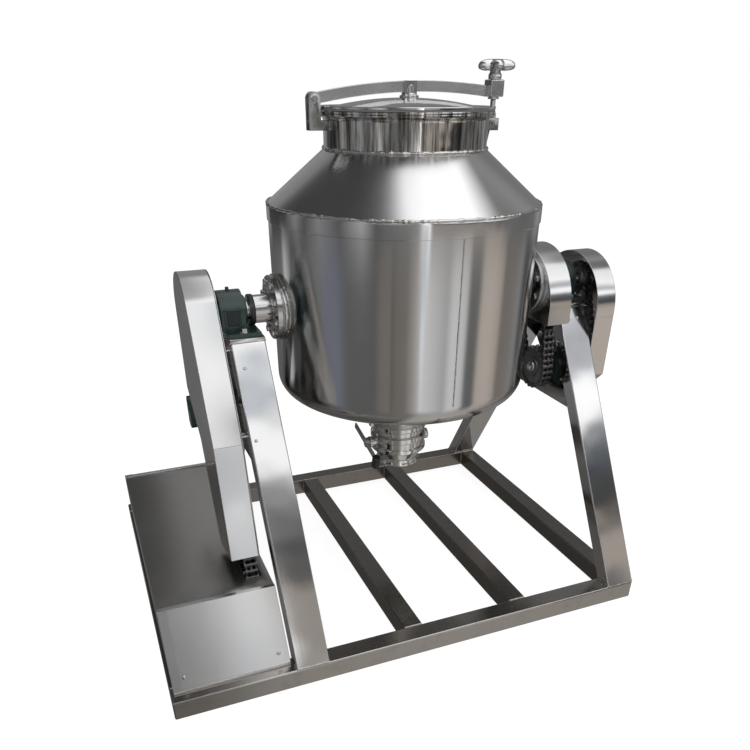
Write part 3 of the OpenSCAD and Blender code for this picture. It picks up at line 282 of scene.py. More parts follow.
# %% Paint and plastic
def coated(name, slot, colour, rough, pebble, pebble_depth, chip_colour=None, chips=0.0, **sockets):
    paint = Paint(name, slot, **sockets)
    spot = paint.place()
    skin = paint.speckle(spot, pebble, 4.0, 0.6)
    tone = paint.speckle(spot, 14.0, 3.0)
    dark = tuple(c * 0.75 for c in colour) + (1,)
    light = tuple(min(1, c * 1.25) for c in colour) + (1,)
    base = paint.mixed(tone, dark, light)
    if chip_colour:
        chip = paint.between(paint.speckle(spot, 70.0, 6.0, 0.7), 0.66 - chips, 0.68 - chips)
        base = paint.mixed(chip, base, chip_colour + (1,))
        skin = skin - 0.6 * chip
    paint.feed("Base Color", base)
    paint.feed("Roughness", rough - 0.08 + 0.16 * tone)
    paint.bump(skin, pebble_depth)
    return paint


GREEN_PAINT = coated("green_paint", "green_castings", (0.006, 0.026, 0.023), 0.3, 260, 0.0006,
                     (0.16, 0.15, 0.14), 0.03, Coat_Weight=0.4, Coat_Roughness=0.25)
BLACK_PLASTIC = coated("black_plastic", "black_plastic", (0.015, 0.015, 0.016), 0.42, 500, 0.0002)
BRONZE = coated("bronze", "bronze", (0.48, 0.33, 0.15), 0.3, 300, 0.0002, Metallic=1.0)
RUBBER = coated("seal_rubber", "seal_rubber", (0.1, 0.1, 0.095), 0.5, 400, 0.0002)
print("finishes so far:", len(bpy.data.materials))


# %% [markdown]
# ## Shapes
# Points are written in millimetres from the drum's middle plane, as on a drawing. `Shape` collects
# points and faces; `piece` turns them into one object at the origin and rounds its edges, because
# a real edge is never sharp and the thin highlight on it is what makes it look solid.

# %% Shapes
class Shape:
    def __init__(self):
        self.points, self.faces = [], []

    def add(self, points, faces):
        start = len(self.points)
        self.points += [Vector(p) for p in points]
        self.faces += [tuple(start + i for i in face) for face in faces]
        return self

    def rings(self, rings, wrap=False, cap=True):
        """Joins rings of the same number of points; wrap joins the last ring to the first."""
        count, many = len(rings[0]), len(rings)
        faces = []
        for i in range(many if wrap else many - 1):
            for j in range(count):
                k, low, high = (j + 1) % count, i * count, (i + 1) % many * count
                faces.append((low + j, low + k, high + k, high + j))
        if cap and not wrap:
            faces.append(tuple(range(count))[::-1])
            faces.append(tuple((many - 1) * count + j for j in range(count)))
        return self.add([p for ring in rings for p in ring], faces)

    def box(self, low, high):
        (x0, y0, z0), (x1, y1, z1) = low, high
        return self.rings([[(x, y0, z0), (x, y1, z0), (x, y1, z1), (x, y0, z1)] for x in (x0, x1)])

    def prism(self, outline, low, high, axis="X"):
        """Outline in the other two axes: Y and Z for X, X and Z for Y, X and Y for Z."""
        turn = {"X": lambda s, a, b: (s, a, b), "Y": lambda s, a, b: (a, s, b), "Z": lambda s, a, b: (a, b, s)}[axis]
        return self.rings([[turn(s, a, b) for a, b in outline] for s in (low, high)])

    def lathe(self, profile, centre=(0, 0, 0), axis="Z", steps=96, closed=False):
        """Turns a profile of (radius, place along the axis) round an axis."""
        turn = {"X": lambda r, s, a: (s, r * math.cos(a), r * math.sin(a)),
                "Y": lambda r, s, a: (r * math.sin(a), s, r * math.cos(a)),
                "Z": lambda r, s, a: (r * math.cos(a), r * math.sin(a), s)}[axis]
        rings = [[Vector(turn(r, s, math.tau * i / steps)) + Vector(centre) for i in range(steps)]
                 for r, s in profile]
        return self.rings(rings, wrap=closed, cap=not closed)

    def rod(self, start, end, radius, steps=32, chamfer=1.0):
        """A round bar between two points, with a small chamfer at both ends."""
        start, end = Vector(start), Vector(end)
        way = (end - start).normalized()
        side = way.orthogonal().normalized()
        other = way.cross(side)
        length = (end - start).length
        rings = []
        face = radius - chamfer
        for r, s in ((face, 0), (radius, chamfer), (radius, length - chamfer), (face, length)):
            rings.append([start + way * s + (side * math.cos(a) + other * math.sin(a)) * r
                          for a in (math.tau * i / steps for i in range(steps))])
        return self.rings(rings)


print("a box has", len(Shape().box((0, 0, 0), (1, 1, 1)).faces), "faces")


# %% [markdown]
# A shape becomes a piece in one place, so that every piece is treated alike: its doubles are merged,
# its faces turned outwards, its paint and body given. `dressed` does the same for a copy of a packed
# solid, for the small parts whose plain form is already right.

# %% Pieces
def piece(name, shape, paint, body, edge=1.0, segments=2, angle=32, replaces=()):
    """One object from a shape. edge is the rounding of its edges in millimetres."""
    mesh = bpy.data.meshes.new(name)
    mesh.from_pydata([((p.x * MM) + DRUM_X, p.y * MM, p.z * MM) for p in shape.points], [], shape.faces)
    shell = bmesh.new()
    shell.from_mesh(mesh)
    bmesh.ops.remove_doubles(shell, verts=shell.verts, dist=1e-6)
    bmesh.ops.recalc_face_normals(shell, faces=shell.faces)
    shell.to_mesh(mesh)
    shell.free()
    return settle(bpy.data.objects.new(name, mesh), paint, body, edge, segments, angle, replaces)


def settle(made, paint, body, edge=0.0, segments=2, angle=32, replaces=()):
    """Paints a piece, smooths it, rounds its edges and gives it to a body."""
    bpy.context.scene.collection.objects.link(made)
    mesh = made.data
    mesh.materials.clear()
    mesh.materials.append(paint.material)
    mesh.polygons.foreach_set("use_smooth", [True] * len(mesh.polygons))
    if edge:
        rounding = made.modifiers.new("edges", "BEVEL")
        rounding.width, rounding.segments = edge * MM, segments
        rounding.limit_method, rounding.angle_limit = "ANGLE", math.radians(angle)
        rounding.harden_normals = True
    else:
        mesh.set_sharp_from_angle(angle=math.radians(angle))
    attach(made, body)
    for node in replaces:
        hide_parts(node)
    return made


def dressed(node, paint, edge=0.6, segments=1, angle=32):
    """A merged copy of a CAD node, with rounded edges, in that node's place."""
    mesh = NODES[node].data.copy()
    mesh.name = node + "_dressed"
    shell = bmesh.new()
    shell.from_mesh(mesh)
    bmesh.ops.remove_doubles(shell, verts=shell.verts, dist=1e-6)
    bmesh.ops.dissolve_limit(shell, angle_limit=math.radians(0.5), verts=shell.verts, edges=shell.edges)
    shell.to_mesh(mesh)
    shell.free()
    return settle(bpy.data.objects.new(mesh.name, mesh), paint, BODY_OF[node], edge, segments, angle, (node,))


def corners(node):
    """A node's lowest and highest corners in millimetres from the drum's middle plane."""
    return [Vector(((c.x - DRUM_X) / MM, c.y / MM, c.z / MM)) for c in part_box(node)]


print("drum wall from", [round(v) for v in corners("drum_side")[0]], "mm")


# %% [markdown]
# ## Repeating with Geometry Nodes
# Bolts and chain links are one shape many times over. Copies made in Python would work too, but one
# tree keeps the shape in one place. It sets a copy of one small object on every point of a mesh, turned
# by that point's own angles, and gives it the material.

# %% Tree for copies on points
def repeat_tree():
    tree = bpy.data.node_groups.new("repeat_on_points", "GeometryNodeTree")
    face = tree.interface
    face.new_socket("Points", in_out="INPUT", socket_type="NodeSocketGeometry")
    face.new_socket("Piece", in_out="INPUT", socket_type="NodeSocketObject")
    face.new_socket("Finish", in_out="INPUT", socket_type="NodeSocketMaterial")
    face.new_socket("Copies", in_out="OUTPUT", socket_type="NodeSocketGeometry")
    add, link = tree.nodes.new, tree.links.new
    source, result = add("NodeGroupInput"), add("NodeGroupOutput")
    shape, copies = add("GeometryNodeObjectInfo"), add("GeometryNodeInstanceOnPoints")
    turn = add("GeometryNodeInputNamedAttribute")
    turn.data_type = "FLOAT_VECTOR"
    turn.inputs["Name"].default_value = "turn"
    angles, real = add("FunctionNodeEulerToRotation"), add("GeometryNodeRealizeInstances")
    finish = add("GeometryNodeSetMaterial")
    link(source.outputs["Piece"], shape.inputs["Object"])
    link(source.outputs["Points"], copies.inputs["Points"])
    link(shape.outputs["Geometry"], copies.inputs["Instance"])
    link(turn.outputs["Attribute"], angles.inputs["Euler"])
    link(angles.outputs["Rotation"], copies.inputs["Rotation"])
    link(copies.outputs["Instances"], real.inputs["Geometry"])
    link(real.outputs["Geometry"], finish.inputs["Geometry"])
    link(source.outputs["Finish"], finish.inputs["Material"])
    link(finish.outputs["Geometry"], result.inputs["Copies"])
    return tree


REPEAT = repeat_tree()
print("tree:", REPEAT.name)


# %% [markdown]
# A weld is an uneven round bead along a line. The second tree turns a line into a curve, takes even
# steps along it, sweeps a small circle and lets a noise swell and shrink it. A plain swept circle would
# look like wire.

# %% Tree for weld beads
def bead_tree():
    tree = bpy.data.node_groups.new("weld_bead", "GeometryNodeTree")
    face = tree.interface
    face.new_socket("Line", in_out="INPUT", socket_type="NodeSocketGeometry")
    for name in ("Radius", "Step", "Uneven", "Ripple"):
        face.new_socket(name, in_out="INPUT", socket_type="NodeSocketFloat")
    face.new_socket("Finish", in_out="INPUT", socket_type="NodeSocketMaterial")
    face.new_socket("Bead", in_out="OUTPUT", socket_type="NodeSocketGeometry")
    add, link = tree.nodes.new, tree.links.new
    source, result = add("NodeGroupInput"), add("NodeGroupOutput")
    curve, even = add("GeometryNodeMeshToCurve"), add("GeometryNodeResampleCurve")
    even.mode = "LENGTH"
    rough, size, sweep = add("ShaderNodeTexNoise"), add("ShaderNodeMapRange"), add("GeometryNodeCurveToMesh")
    ring, finish = add("GeometryNodeCurvePrimitiveCircle"), add("GeometryNodeSetMaterial")
    ring.inputs["Resolution"].default_value = 8
    rough.inputs["Detail"].default_value = 3.0
    low, high = add("ShaderNodeMath"), add("ShaderNodeMath")
    low.operation, high.operation = "SUBTRACT", "ADD"
    low.inputs[0].default_value = high.inputs[0].default_value = 1.0
    link(source.outputs["Line"], curve.inputs["Mesh"])
    link(curve.outputs["Curve"], even.inputs["Curve"])
    link(source.outputs["Step"], even.inputs["Length"])
    link(source.outputs["Ripple"], rough.inputs["Scale"])
    link(source.outputs["Uneven"], low.inputs[1])
    link(source.outputs["Uneven"], high.inputs[1])
    link(rough.outputs[0], size.inputs["Value"])
    size.inputs["From Min"].default_value, size.inputs["From Max"].default_value = 0.3, 0.7
    link(low.outputs[0], size.inputs["To Min"])
    link(high.outputs[0], size.inputs["To Max"])
    link(source.outputs["Radius"], ring.inputs["Radius"])
    link(even.outputs["Curve"], sweep.inputs["Curve"])
    link(ring.outputs["Curve"], sweep.inputs["Profile Curve"])
    link(size.outputs[0], sweep.inputs["Scale"])
    sweep.inputs["Fill Caps"].default_value = True
    link(sweep.outputs["Mesh"], finish.inputs["Geometry"])
    link(source.outputs["Finish"], finish.inputs["Material"])
    link(finish.outputs["Geometry"], result.inputs["Bead"])
    return tree


BEAD = bead_tree()
print("tree:", BEAD.name)


# %% [markdown]
# A tree's result is turned into a plain mesh at once. The inputs are set by their identifiers before
# the object is first evaluated, because a name alone is not a key. Spots and lines are in millimetres,
# as the shapes are.

# %% Running the trees


def grown(name, tree, base, inputs, paint, body, angle=40, replaces=()):
    """Runs a tree on a base mesh and keeps the result as a plain mesh."""
    start = bpy.data.objects.new(name, base)
    bpy.context.scene.collection.objects.link(start)
    modifier = start.modifiers.new("grow", "NODES")
    modifier.node_group = tree
    identifiers = {item.name: item.identifier for item in tree.interface.items_tree
                   if item.item_type == "SOCKET" and item.in_out == "INPUT"}
    for key, value in inputs.items():
        modifier[identifiers[key]] = value
    modifier[identifiers["Finish"]] = paint.material
    bpy.context.view_layer.update()
    result = bpy.data.meshes.new_from_object(start.evaluated_get(bpy.context.evaluated_depsgraph_get()))
    bpy.data.objects.remove(start)
    result.name = name
    made = bpy.data.objects.new(name, result)
    return settle(made, paint, body, angle=angle, replaces=replaces)


def repeated(name, pattern, spots, paint, body, angle=40, replaces=()):
    """Copies of a pattern shape, drawn round the origin in millimetres, at (place, angles) spots."""
    template_mesh = bpy.data.meshes.new(name + "_template")
    template_mesh.from_pydata([p * MM for p in pattern.points], [], pattern.faces)
    template_mesh.update()
    template = bpy.data.objects.new(name + "_template", template_mesh)
    bpy.context.scene.collection.objects.link(template)
    base = bpy.data.meshes.new(name + "_points")
    base.from_pydata([(p[0] * MM + DRUM_X, p[1] * MM, p[2] * MM) for p, turn in spots], [], [])
    turns = base.attributes.new("turn", "FLOAT_VECTOR", "POINT")
    for i, (p, turn) in enumerate(spots):
        turns.data[i].vector = turn
    made = grown(name, REPEAT, base, {"Piece": template}, paint, body, angle, replaces)
    bpy.data.objects.remove(template)
    return made


def weld(name, lines, radius, body, uneven=0.3, ripple=90.0, step=3.0, paint=None, closed=False):
    """A weld bead along one or more lines of points in millimetres."""
    points, edges = [], []
    for line in lines:
        start = len(points)
        points += [(x * MM + DRUM_X, y * MM, z * MM) for x, y, z in line]
        edges += [(start + i, start + i + 1) for i in range(len(line) - 1)]
        if closed:
            edges.append((len(points) - 1, start))
    base = bpy.data.meshes.new(name + "_line")
    base.from_pydata(points, edges, [])
    return grown(name, BEAD, base, {"Radius": radius * MM, "Step": step * MM, "Uneven": uneven, "Ripple": ripple},
                 paint or WELD_STEEL, body, angle=60)


def circle(radius, z, steps):
    return [(radius * math.cos(math.tau * i / steps), radius * math.sin(math.tau * i / steps), z)
            for i in range(steps)]


def ring_x(radius, x, y, z, steps=96):
    return [(x, y + radius * math.cos(math.tau * i / steps), z + radius * math.sin(math.tau * i / steps))
            for i in range(steps)]


def hexagon(size, height, washer, washer_t):
    """Bolt head with its washer, standing on z = 0, its crown a little smaller than its foot."""
    head = Shape()
    head.lathe([(washer - 0.4, 0), (washer, 0.4), (washer, washer_t), (washer - 0.6, washer_t + 0.4)], steps=24)
    base = washer_t
    hex_ring = lambda r, z: [(r * math.cos(math.tau * i / 6), r * math.sin(math.tau * i / 6), z) for i in range(6)]
    head.rings([hex_ring(size, base), hex_ring(size, base + height * 0.85), hex_ring(size * 0.93, base + height)])
    return head


print("a bolt head has", len(hexagon(10, 6, 12, 1).faces), "faces")
TOP_UP, TOP_LEFT, TOP_RIGHT = (0, 0, 0), (0, -math.pi / 2, 0), (0, math.pi / 2, 0)
TOP_FRONT = (math.pi / 2, 0, 0)


# %% [markdown]
# ## Base frame and legs
# The base is square tube with rounded corners, cut square and welded. A swept rounded square would do,
# but a box with its edges rounded gives the same tube with fewer faces. Beads of weld hide where one
# tube meets the next, as they do on the real frame.

# %% Base frame
TUBE_EDGE = 5.0
INNER_BARS = (-190.0, 165.0)


def tube_box(node, paint, splits=None):
    shape = Shape()
    low, high = corners(node)
    for a, b in splits or [(low, high)]:
        shape.box(a, b)
    return piece(node.replace("rail", "rail_tube").replace("bars", "bars_tube"), shape, paint, "frame", TUBE_EDGE,
                 3, replaces=(node,))


RAIL_LOW, RAIL_HIGH = corners("front_rail")
BARS_LOW, BARS_HIGH = corners("cross_bars")
TUBE = RAIL_HIGH.z
BAR_PLACES = (BARS_LOW.x, *INNER_BARS, BARS_HIGH.x - TUBE)
tube_box("front_rail", RAIL_STEEL)
# The back rail and the cross bars take the darker steel copy, which is painted shade from the drum above them.
tube_box("back_rail", SHADED_BAR_STEEL)
tube_box("cross_bars", SHADED_BAR_STEEL, [((x, BARS_LOW.y, 0), (x + TUBE, BARS_HIGH.y, TUBE)) for x in BAR_PLACES])
joints = []
for x in BAR_PLACES:
    for y in (BARS_LOW.y, BARS_HIGH.y):
        joints.append([(x + 4, y, TUBE - 0.6), (x + TUBE - 4, y, TUBE - 0.6)])
        for side in (x, x + TUBE):
            if RAIL_LOW.x < side < RAIL_HIGH.x:
                joints.append([(side, y, 5), (side, y, TUBE - 5)])
weld("frame_welds", joints, 2.6, "frame", paint=FRAME_WELD)
print("frame welds:", len(joints), "beads")


# %% [markdown]
# Each pair of legs leans together like a rafter pair, in wider tube with a polished face. The outline
# is drawn from the side and pushed out to the tube's width, so the cuts at foot and seat come out flat
# by themselves, which two turned boxes would not give.

# %% Legs
LEG_FOOT, SEAT_HALF, LEG_T = 561.0, 94.0, 48.0
SEAT_LOW = corners("bearing_seats")[0].z
LEG_LEAN = (LEG_FOOT - SEAT_HALF) / (SEAT_LOW - TUBE)
LEG_DEPTH = LEG_T * math.sqrt(1 + LEG_LEAN ** 2)


def leg_face(z):
    return LEG_FOOT - (z - TUBE) * LEG_LEAN


def leg_pieces(node):
    low, high = corners(node)
    foot, head, weld_z = leg_face(TUBE), leg_face(SEAT_LOW), TUBE + 0.5
    shape = Shape()
    for way in (-1, 1):
        shape.prism([(way * foot, TUBE), (way * head, SEAT_LOW), (way * (head - LEG_DEPTH), SEAT_LOW),
                     (way * (foot - LEG_DEPTH), TUBE)], low.x, high.x)
    piece(node + "_tubes", shape, LEG_STEEL, "frame", 4.5, 3, replaces=(node,))
    beads = []
    for way in (-1, 1):
        for y in (way * (foot - 3), way * (foot - LEG_DEPTH + 1)):
            beads.append([(low.x + 3, y, weld_z), (high.x - 3, y, weld_z)])
        for x in (low.x, high.x):
            beads.append([(x, way * (foot - 4), weld_z), (x, way * (foot - LEG_DEPTH + 4), weld_z)])
            beads.append([(x, way * head - way * 4, SEAT_LOW), (x, way * 40, SEAT_LOW)])
    weld(node + "_welds", beads, 2.4, "frame", paint=FRAME_WELD)


leg_pieces("left_legs")
leg_pieces("right_legs")
# The leg beams take the darker steel copy too, which is painted shade.
for node in ("bearing_seats", "leg_beams"):
    dressed(node, SHADED_BAR_STEEL if node == "leg_beams" else LEG_STEEL, 1.5, 2)
print("legs lean", round(math.degrees(math.atan(LEG_LEAN)), 1), "degrees")


# %% [markdown]
# ## Drum
# The drum is rolled from sheet: a wall, a dished floor, a cone and a polished neck. Everything round is
# a profile turned about an axis, fine enough that no flat shows in a reflection; a subdivided cylinder
# would soften the edges too. The seams are uneven beads: round the shoulder's edge, at the neck's foot
# and round each pad.

# %% Drum
AXIS = 885.0
SIDE_R, SIDE_T, SIDE_LOW, SIDE_HIGH = 375.0, 4.0, 671.0, 1138.0
NECK_R, NECK_LOW, NECK_HIGH, RIM_R, RIM_LOW = 216.0, 1266.0, 1352.0, 232.0, 1340.0
PAD, FLANGE, FLANGE_R = 382.0, 398.0, 85.0


def arc(centre, radius, start, end, steps=16):
    """Points on an arc, with angles in degrees."""
    return [(centre[0] + radius * math.cos(math.radians(start + (end - start) * i / steps)),
             centre[1] + radius * math.sin(math.radians(start + (end - start) * i / steps)))
            for i in range(steps + 1)]


def turned(name, profile, paint, body, edge=0.0, axis="Z", centre=(0, 0, 0), steps=224, closed=True, replaces=(),
           angle=32):
    return piece(name, Shape().lathe(profile, centre, axis, steps, closed), paint, body, edge, 2, angle, replaces)


KNUCKLE_R, PIPE_R, FLOOR_LOW = 60, 78, 575
knuckle = (SIDE_R - KNUCKLE_R, SIDE_LOW)
turned("drum_wall", [(SIDE_R, SIDE_LOW), (SIDE_R, SIDE_HIGH), (SIDE_R - SIDE_T, SIDE_HIGH),
                     (SIDE_R - SIDE_T, SIDE_LOW)], DRUM_STEEL, "drum", replaces=("drum_side",))
turned("drum_floor", arc(knuckle, KNUCKLE_R, 0, -90) + [(PIPE_R, FLOOR_LOW), (PIPE_R, FLOOR_LOW + SIDE_T)]
       + arc(knuckle, KNUCKLE_R - SIDE_T, -90, 0), DRUM_STEEL, "drum", replaces=("drum_bottom",))
turned("shoulder_cone", [(SIDE_R, SIDE_HIGH), (NECK_R, NECK_LOW), (NECK_R - SIDE_T, NECK_LOW),
                         (SIDE_R - SIDE_T, SIDE_HIGH)], SHOULDER_STEEL, "drum", replaces=("drum_shoulder",))
turned("shoulder_hoop", [(375, 1098), (377.2, 1098), (378, 1099), (378, 1130), (377.4, 1136), (375.6, 1138.4),
                         (373, 1138)], DRUM_STEEL, "drum", replaces=("shoulder_band",))
turned("neck_ring", [(NECK_R, NECK_LOW), (NECK_R, 1330)] + arc((224, 1330), 8, 180, 100, 6)
       + [(229, RIM_LOW), (RIM_R, 1341.6), (RIM_R, 1344.5), (230.4, 1345.6), (RIM_R, 1346.8), (RIM_R, 1350.6),
          (230.8, NECK_HIGH), (212, NECK_HIGH), (212, NECK_LOW)], NECK_STEEL, "drum", replaces=("neck",))
weld("shoulder_weld", [circle(SIDE_R - 0.5, SIDE_HIGH + 0.5, 360)], 3.8, "drum", 0.5, 55, 3.0, closed=True)
weld("neck_weld", [circle(NECK_R + 0.8, NECK_LOW + 0.6, 260)], 4.4, "drum", 0.55, 50, 3.0, closed=True)
SEAM_TURN = math.radians(-91.0)
weld("wall_weld", [[(SIDE_R * math.cos(SEAM_TURN), SIDE_R * math.sin(SEAM_TURN), z) for z in range(676, 1097, 6)]],
     1.9, "drum", 0.4, 120, 2.5)
dressed("hub_pads", DRUM_STEEL, 1.0)
PAD_R, BOSS_R = 86, 38.6
for way, side in ((-1, "left"), (1, "right")):
    edge_line = []
    for y, z, _ in circle(PAD_R, 0, 120):
        edge_line.append((way * math.sqrt(SIDE_R ** 2 - y ** 2), y, AXIS + z))
    weld(side + "_pad_weld", [edge_line], 3.4, "drum", 0.5, 70, 3.0, closed=True)
    weld(side + "_flange_weld", [ring_x(FLANGE_R + 0.4, way * PAD, 0, AXIS)], 2.4, "drum", 0.4, 80, 2.5,
         closed=True)
    weld(side + "_tube_weld", [ring_x(BOSS_R, way * (FLANGE + 1), 0, AXIS)], 3.2, "drum", 0.35, 90, 2.5,
         closed=True)
dressed("hub_bushes", BRONZE)
print("drum: radius", SIDE_R, "mm, from", FLOOR_LOW, "to", NECK_HIGH, "mm")


# %% [markdown]
# A trunnion is a turned flange with a stub that carries the drum in its bearing. It is one profile
# turned about the drum's axis. Eight bolts hold each flange; the repeating tree sets them, because a
# change of their number is then one value.

# %% Trunnions and their bolts
FLANGE_BOLTS, BOLT_CIRCLE = 8, 68
turned("left_trunnion_turned", [(0.5, -608.6), (24, -608.6), (25, -607.6), (25, -462), (36.5, -462), (37.5, -461),
                                (37.5, -400), (39.5, -FLANGE), (84, -FLANGE), (FLANGE_R, -397), (FLANGE_R, -383),
                                (84, -PAD), (0.5, -PAD)], TURNED_STEEL, "drum", axis="X",
       centre=(0, 0, AXIS), steps=96, closed=False, replaces=("left_trunnion",))
turned("trunnion_ring", [(37.4, -461), (40.4, -460.4), (40.8, -459), (40.8, -449), (40.4, -447.6), (37.4, -447)],
       BLACK_PLASTIC, "drum", 0.0, "X", (0, 0, AXIS), 96)
dressed("right_trunnion", TURNED_STEEL)
spots = []
for way, turn in ((-1, TOP_LEFT), (1, TOP_RIGHT)):
    for i in range(FLANGE_BOLTS):
        a = math.tau * (i + 0.5) / FLANGE_BOLTS
        spots.append(((way * FLANGE, -BOLT_CIRCLE * math.sin(a), AXIS + BOLT_CIRCLE * math.cos(a)), turn))
repeated("flange_bolts", hexagon(9.4, 6.6, 12.0, 1.4), spots, BOLT_STEEL, "drum", replaces=("trunnion_bolts",))
print("flange bolts:", len(spots))


# %% [markdown]
# ## Outlet and valve
# The valve is a stack of polished rings held by a clamp, then a short tail with a bead. One profile
# gives the whole stack: rings made apart would need exact seats, and their joints hardly show. The
# disc, the lever and its grip turn, so they stay pieces of their own.

# %% Outlet and valve
STEM_Z = 428
turned("outlet_pipe", [(74, 579), (PIPE_R, 576), (PIPE_R, 514), (82, 511), (89, 510), (90, 509), (90, 501), (89, 500),
                       (74, 500)], MIRROR_STEEL, "drum", replaces=("outlet_neck",), steps=128)
turned("valve_rings", [(64, 500), (86, 499.6), (86, 496), (90, 494), (90, 480), (86, 478), (83, 474), (83, 462),
                       (88, 458), (90, 455), (90, 442), (87, 439), (84, 437), (84, 420), (89, 417), (90, 415),
                       (90, 405), (88, 402), (80, 399), (69, 379), (68, 376), (68, 368), (71, 362), (72, 360),
                       (72, 356.4), (71, 355), (64, 355)],
       MIRROR_STEEL, BODY_OF["valve_body"], steps=128, replaces=("valve_body",))
bosses = Shape()
for way in (-1, 1):
    bosses.rod((way * 78, 0, STEM_Z), (way * 104, 0, STEM_Z), 18, 40, 1.5)
    bosses.box((way * 93 - 7, -9, 484), (way * 93 + 7, 9, 510))
piece("valve_bosses", bosses, CAST_STEEL, BODY_OF["valve_body"], 1.2)
turned("valve_clamp", [(88, 503), (90.5, 504.5), (91, 506), (91, 492), (90.5, 490.6), (88, 492)], SATIN_STEEL,
       BODY_OF["valve_body"], steps=128)
weld("outlet_weld", [circle(78.6, 576, 100)], 2.8, "drum", 0.4, 80, 2.5, closed=True)
dressed("valve_disc", MIRROR_STEEL)
dressed("valve_lever", CAST_STEEL, 0.8)
dressed("lever_grip", BLACK_PLASTIC, 3.0, 3)
print("valve stem at", STEM_Z, "mm")


# %% [markdown]
# ## Lid, clamp bar and knob
# The lid is a pressed plate: a flat edge, a channel and a low dome, in one profile. A dark ring in the
# channel is painted shadow, where the dome's foot throws its shadow.

# %% Lid
DOME_R, DOME_FOOT, DOME_TOP, DOME_STEPS = 196, 1359.4, 1380, 14
dome = []
for i in range(DOME_STEPS):
    out = 1 - i / DOME_STEPS
    dome.append((DOME_R * out, DOME_FOOT + (DOME_TOP - DOME_FOOT) * (1 - out ** 2)))
dome.append((0.4, DOME_TOP))
turned("lid_plate", [(0.4, 1356), (231, 1356), (RIM_R, 1357), (RIM_R, 1361), (231, 1362), (215, 1362), (213, 1361),
                     (211, 1358.8), (198, 1358.8)] + dome, MIRROR_STEEL, BODY_OF["lid"], closed=False,
       replaces=("lid",))
# A thin ring of dark steel in the channel: painted shadow of the dome's foot.
turned("lid_channel", [(198.5, 1358.9), (211.2, 1358.9), (211.4, 1359.5), (209, 1359.9), (201, 1359.9),
                       (198.3, 1359.5)], WHEEL_STEEL, BODY_OF["lid"])
turned("lid_seal", [(212, 1352.4), (230.6, 1352.4), (231, 1353), (231, 1355.4), (230.6, 1356), (212, 1356)], RUBBER,
       BODY_OF["lid_gasket"], replaces=("lid_gasket",))
print("lid: dome", DOME_TOP - DOME_FOOT, "mm high")


# %% [markdown]
# The clamp bar is cut from flat stock to an arch that swings on the neck's left lug. Its top edge is one
# curve, and its lower edge is the same curve moved down. The knob is a casting with five lobes and a
# domed top: rings of points whose radius follows a cosine, so the lobes run smoothly into the hub.

# %% Clamp bar, its mounts and the knob
HINGE, STUD, HINGE_Z = -252.0, 258.0, 1377.0
BAR_LOW_END, BAR_RISE, BAR_PEAK, BAR_RUN, BAR_END, BAR_H = 1389.5, 28, 50, 302, 239, 25


def bar_top(x):
    return BAR_LOW_END + BAR_RISE * (1 - ((x - BAR_PEAK) / BAR_RUN) ** 2)


steps = [HINGE + (BAR_END - HINGE) * i / 40 for i in range(41)]
bar = Shape().prism([(x, bar_top(x)) for x in steps] + [(x, bar_top(x) - BAR_H) for x in reversed(steps)], -6, 6, "Y")
piece("clamp_arch", bar, SATIN_STEEL, BODY_OF["clamp_bar"], 1.4, 2, 40, ("clamp_bar",))
bracket = Shape().box((-8, -11, 1380), (26, -6, 1417)).box((-8, 6, 1380), (26, 11, 1417))
bracket.lathe([(0.5, 1379.6), (24, 1379.6), (25, 1380.6), (25, 1384), (17, 1387), (15, 1390), (15, 1402),
               (0.5, 1403)], (9, 0, 0), steps=48)
piece("clamp_saddle", bracket, CAST_STEEL, BODY_OF["clamp_bar"], 1.2)
fork = Shape().box((238, -20, 1381.7), (278, 20, 1420.6))
piece("clamp_fork", fork, CAST_STEEL, BODY_OF["clamp_bar"], 3.0, 3)
saddle_bolts = [((9, -11, 1402), TOP_FRONT), ((9, -11, 1390), TOP_FRONT)]
repeated("saddle_bolts", hexagon(5.0, 3.4, 6.0, 0.8), saddle_bolts, BOLT_STEEL, BODY_OF["clamp_bar"])
MOUNT_STEEL = steel("mount_steel", "polished_steel", 0.36, 0.24, (200, 200, 200), 0.00003, 30, 0.0008, dirt=0.2)
dressed("clamp_mounts", MOUNT_STEEL, 1.4, 2)
repeated("hinge_bolts", hexagon(8.4, 5.0, 10.0, 1.2), [((HINGE, -14.4, HINGE_Z), TOP_FRONT)], BOLT_STEEL,
         BODY_OF["clamp_mounts"])


LOBES, KNOB_HUB_R, LOBE_REACH = 5, 33, 18


def star_knob():
    """Each level is a share of the full radius and a height."""
    levels = [(0.42, 1441), (0.8, 1441.6), (0.94, 1444), (1.0, 1448), (1.0, 1453), (0.955, 1457.5), (0.86, 1461.2),
              (0.7, 1464), (0.48, 1465.6), (0.2, 1466)]
    rings = []
    for share, z in levels:
        ring = []
        for i in range(120):
            a = math.tau * i / 120
            lobe = 0.5 - 0.5 * math.cos(LOBES * a)
            radius = (KNOB_HUB_R + LOBE_REACH * lobe ** 0.8) * share
            ring.append((STUD + radius * math.cos(a), radius * math.sin(a), z - 3.0 * (1 - lobe) * share ** 3))
        rings.append(ring)
    star = Shape().rings(rings)
    star.lathe([(0.5, 1376.4), (14, 1376.4), (15, 1377.4), (15, 1381), (11, 1381.2), (11, 1421), (17, 1421.2),
                (17.6, 1422.4), (17.6, 1432), (14.5, 1436), (14, 1442.5), (0.5, 1442.5)], (STUD, 0, 0), steps=48)
    piece("star_knob", star, CAST_STEEL, BODY_OF["hand_knob"], 0.0, 2, 50, ("hand_knob",))


star_knob()
print("knob:", LOBES, "lobes,", 2 * (KNOB_HUB_R + LOBE_REACH), "mm across")


# %% [markdown]
# ## Bearings
# A pillow block is a cast housing with a rough painted skin, rounded all over, with turned covers and
# hexagon bolts. An arch pushed out to its width with a wide rounding reads as a casting, and needs no
# sculpting. The right one stands in the guards' shade, so its coat is a darker, duller copy of the green:
# painted shade.

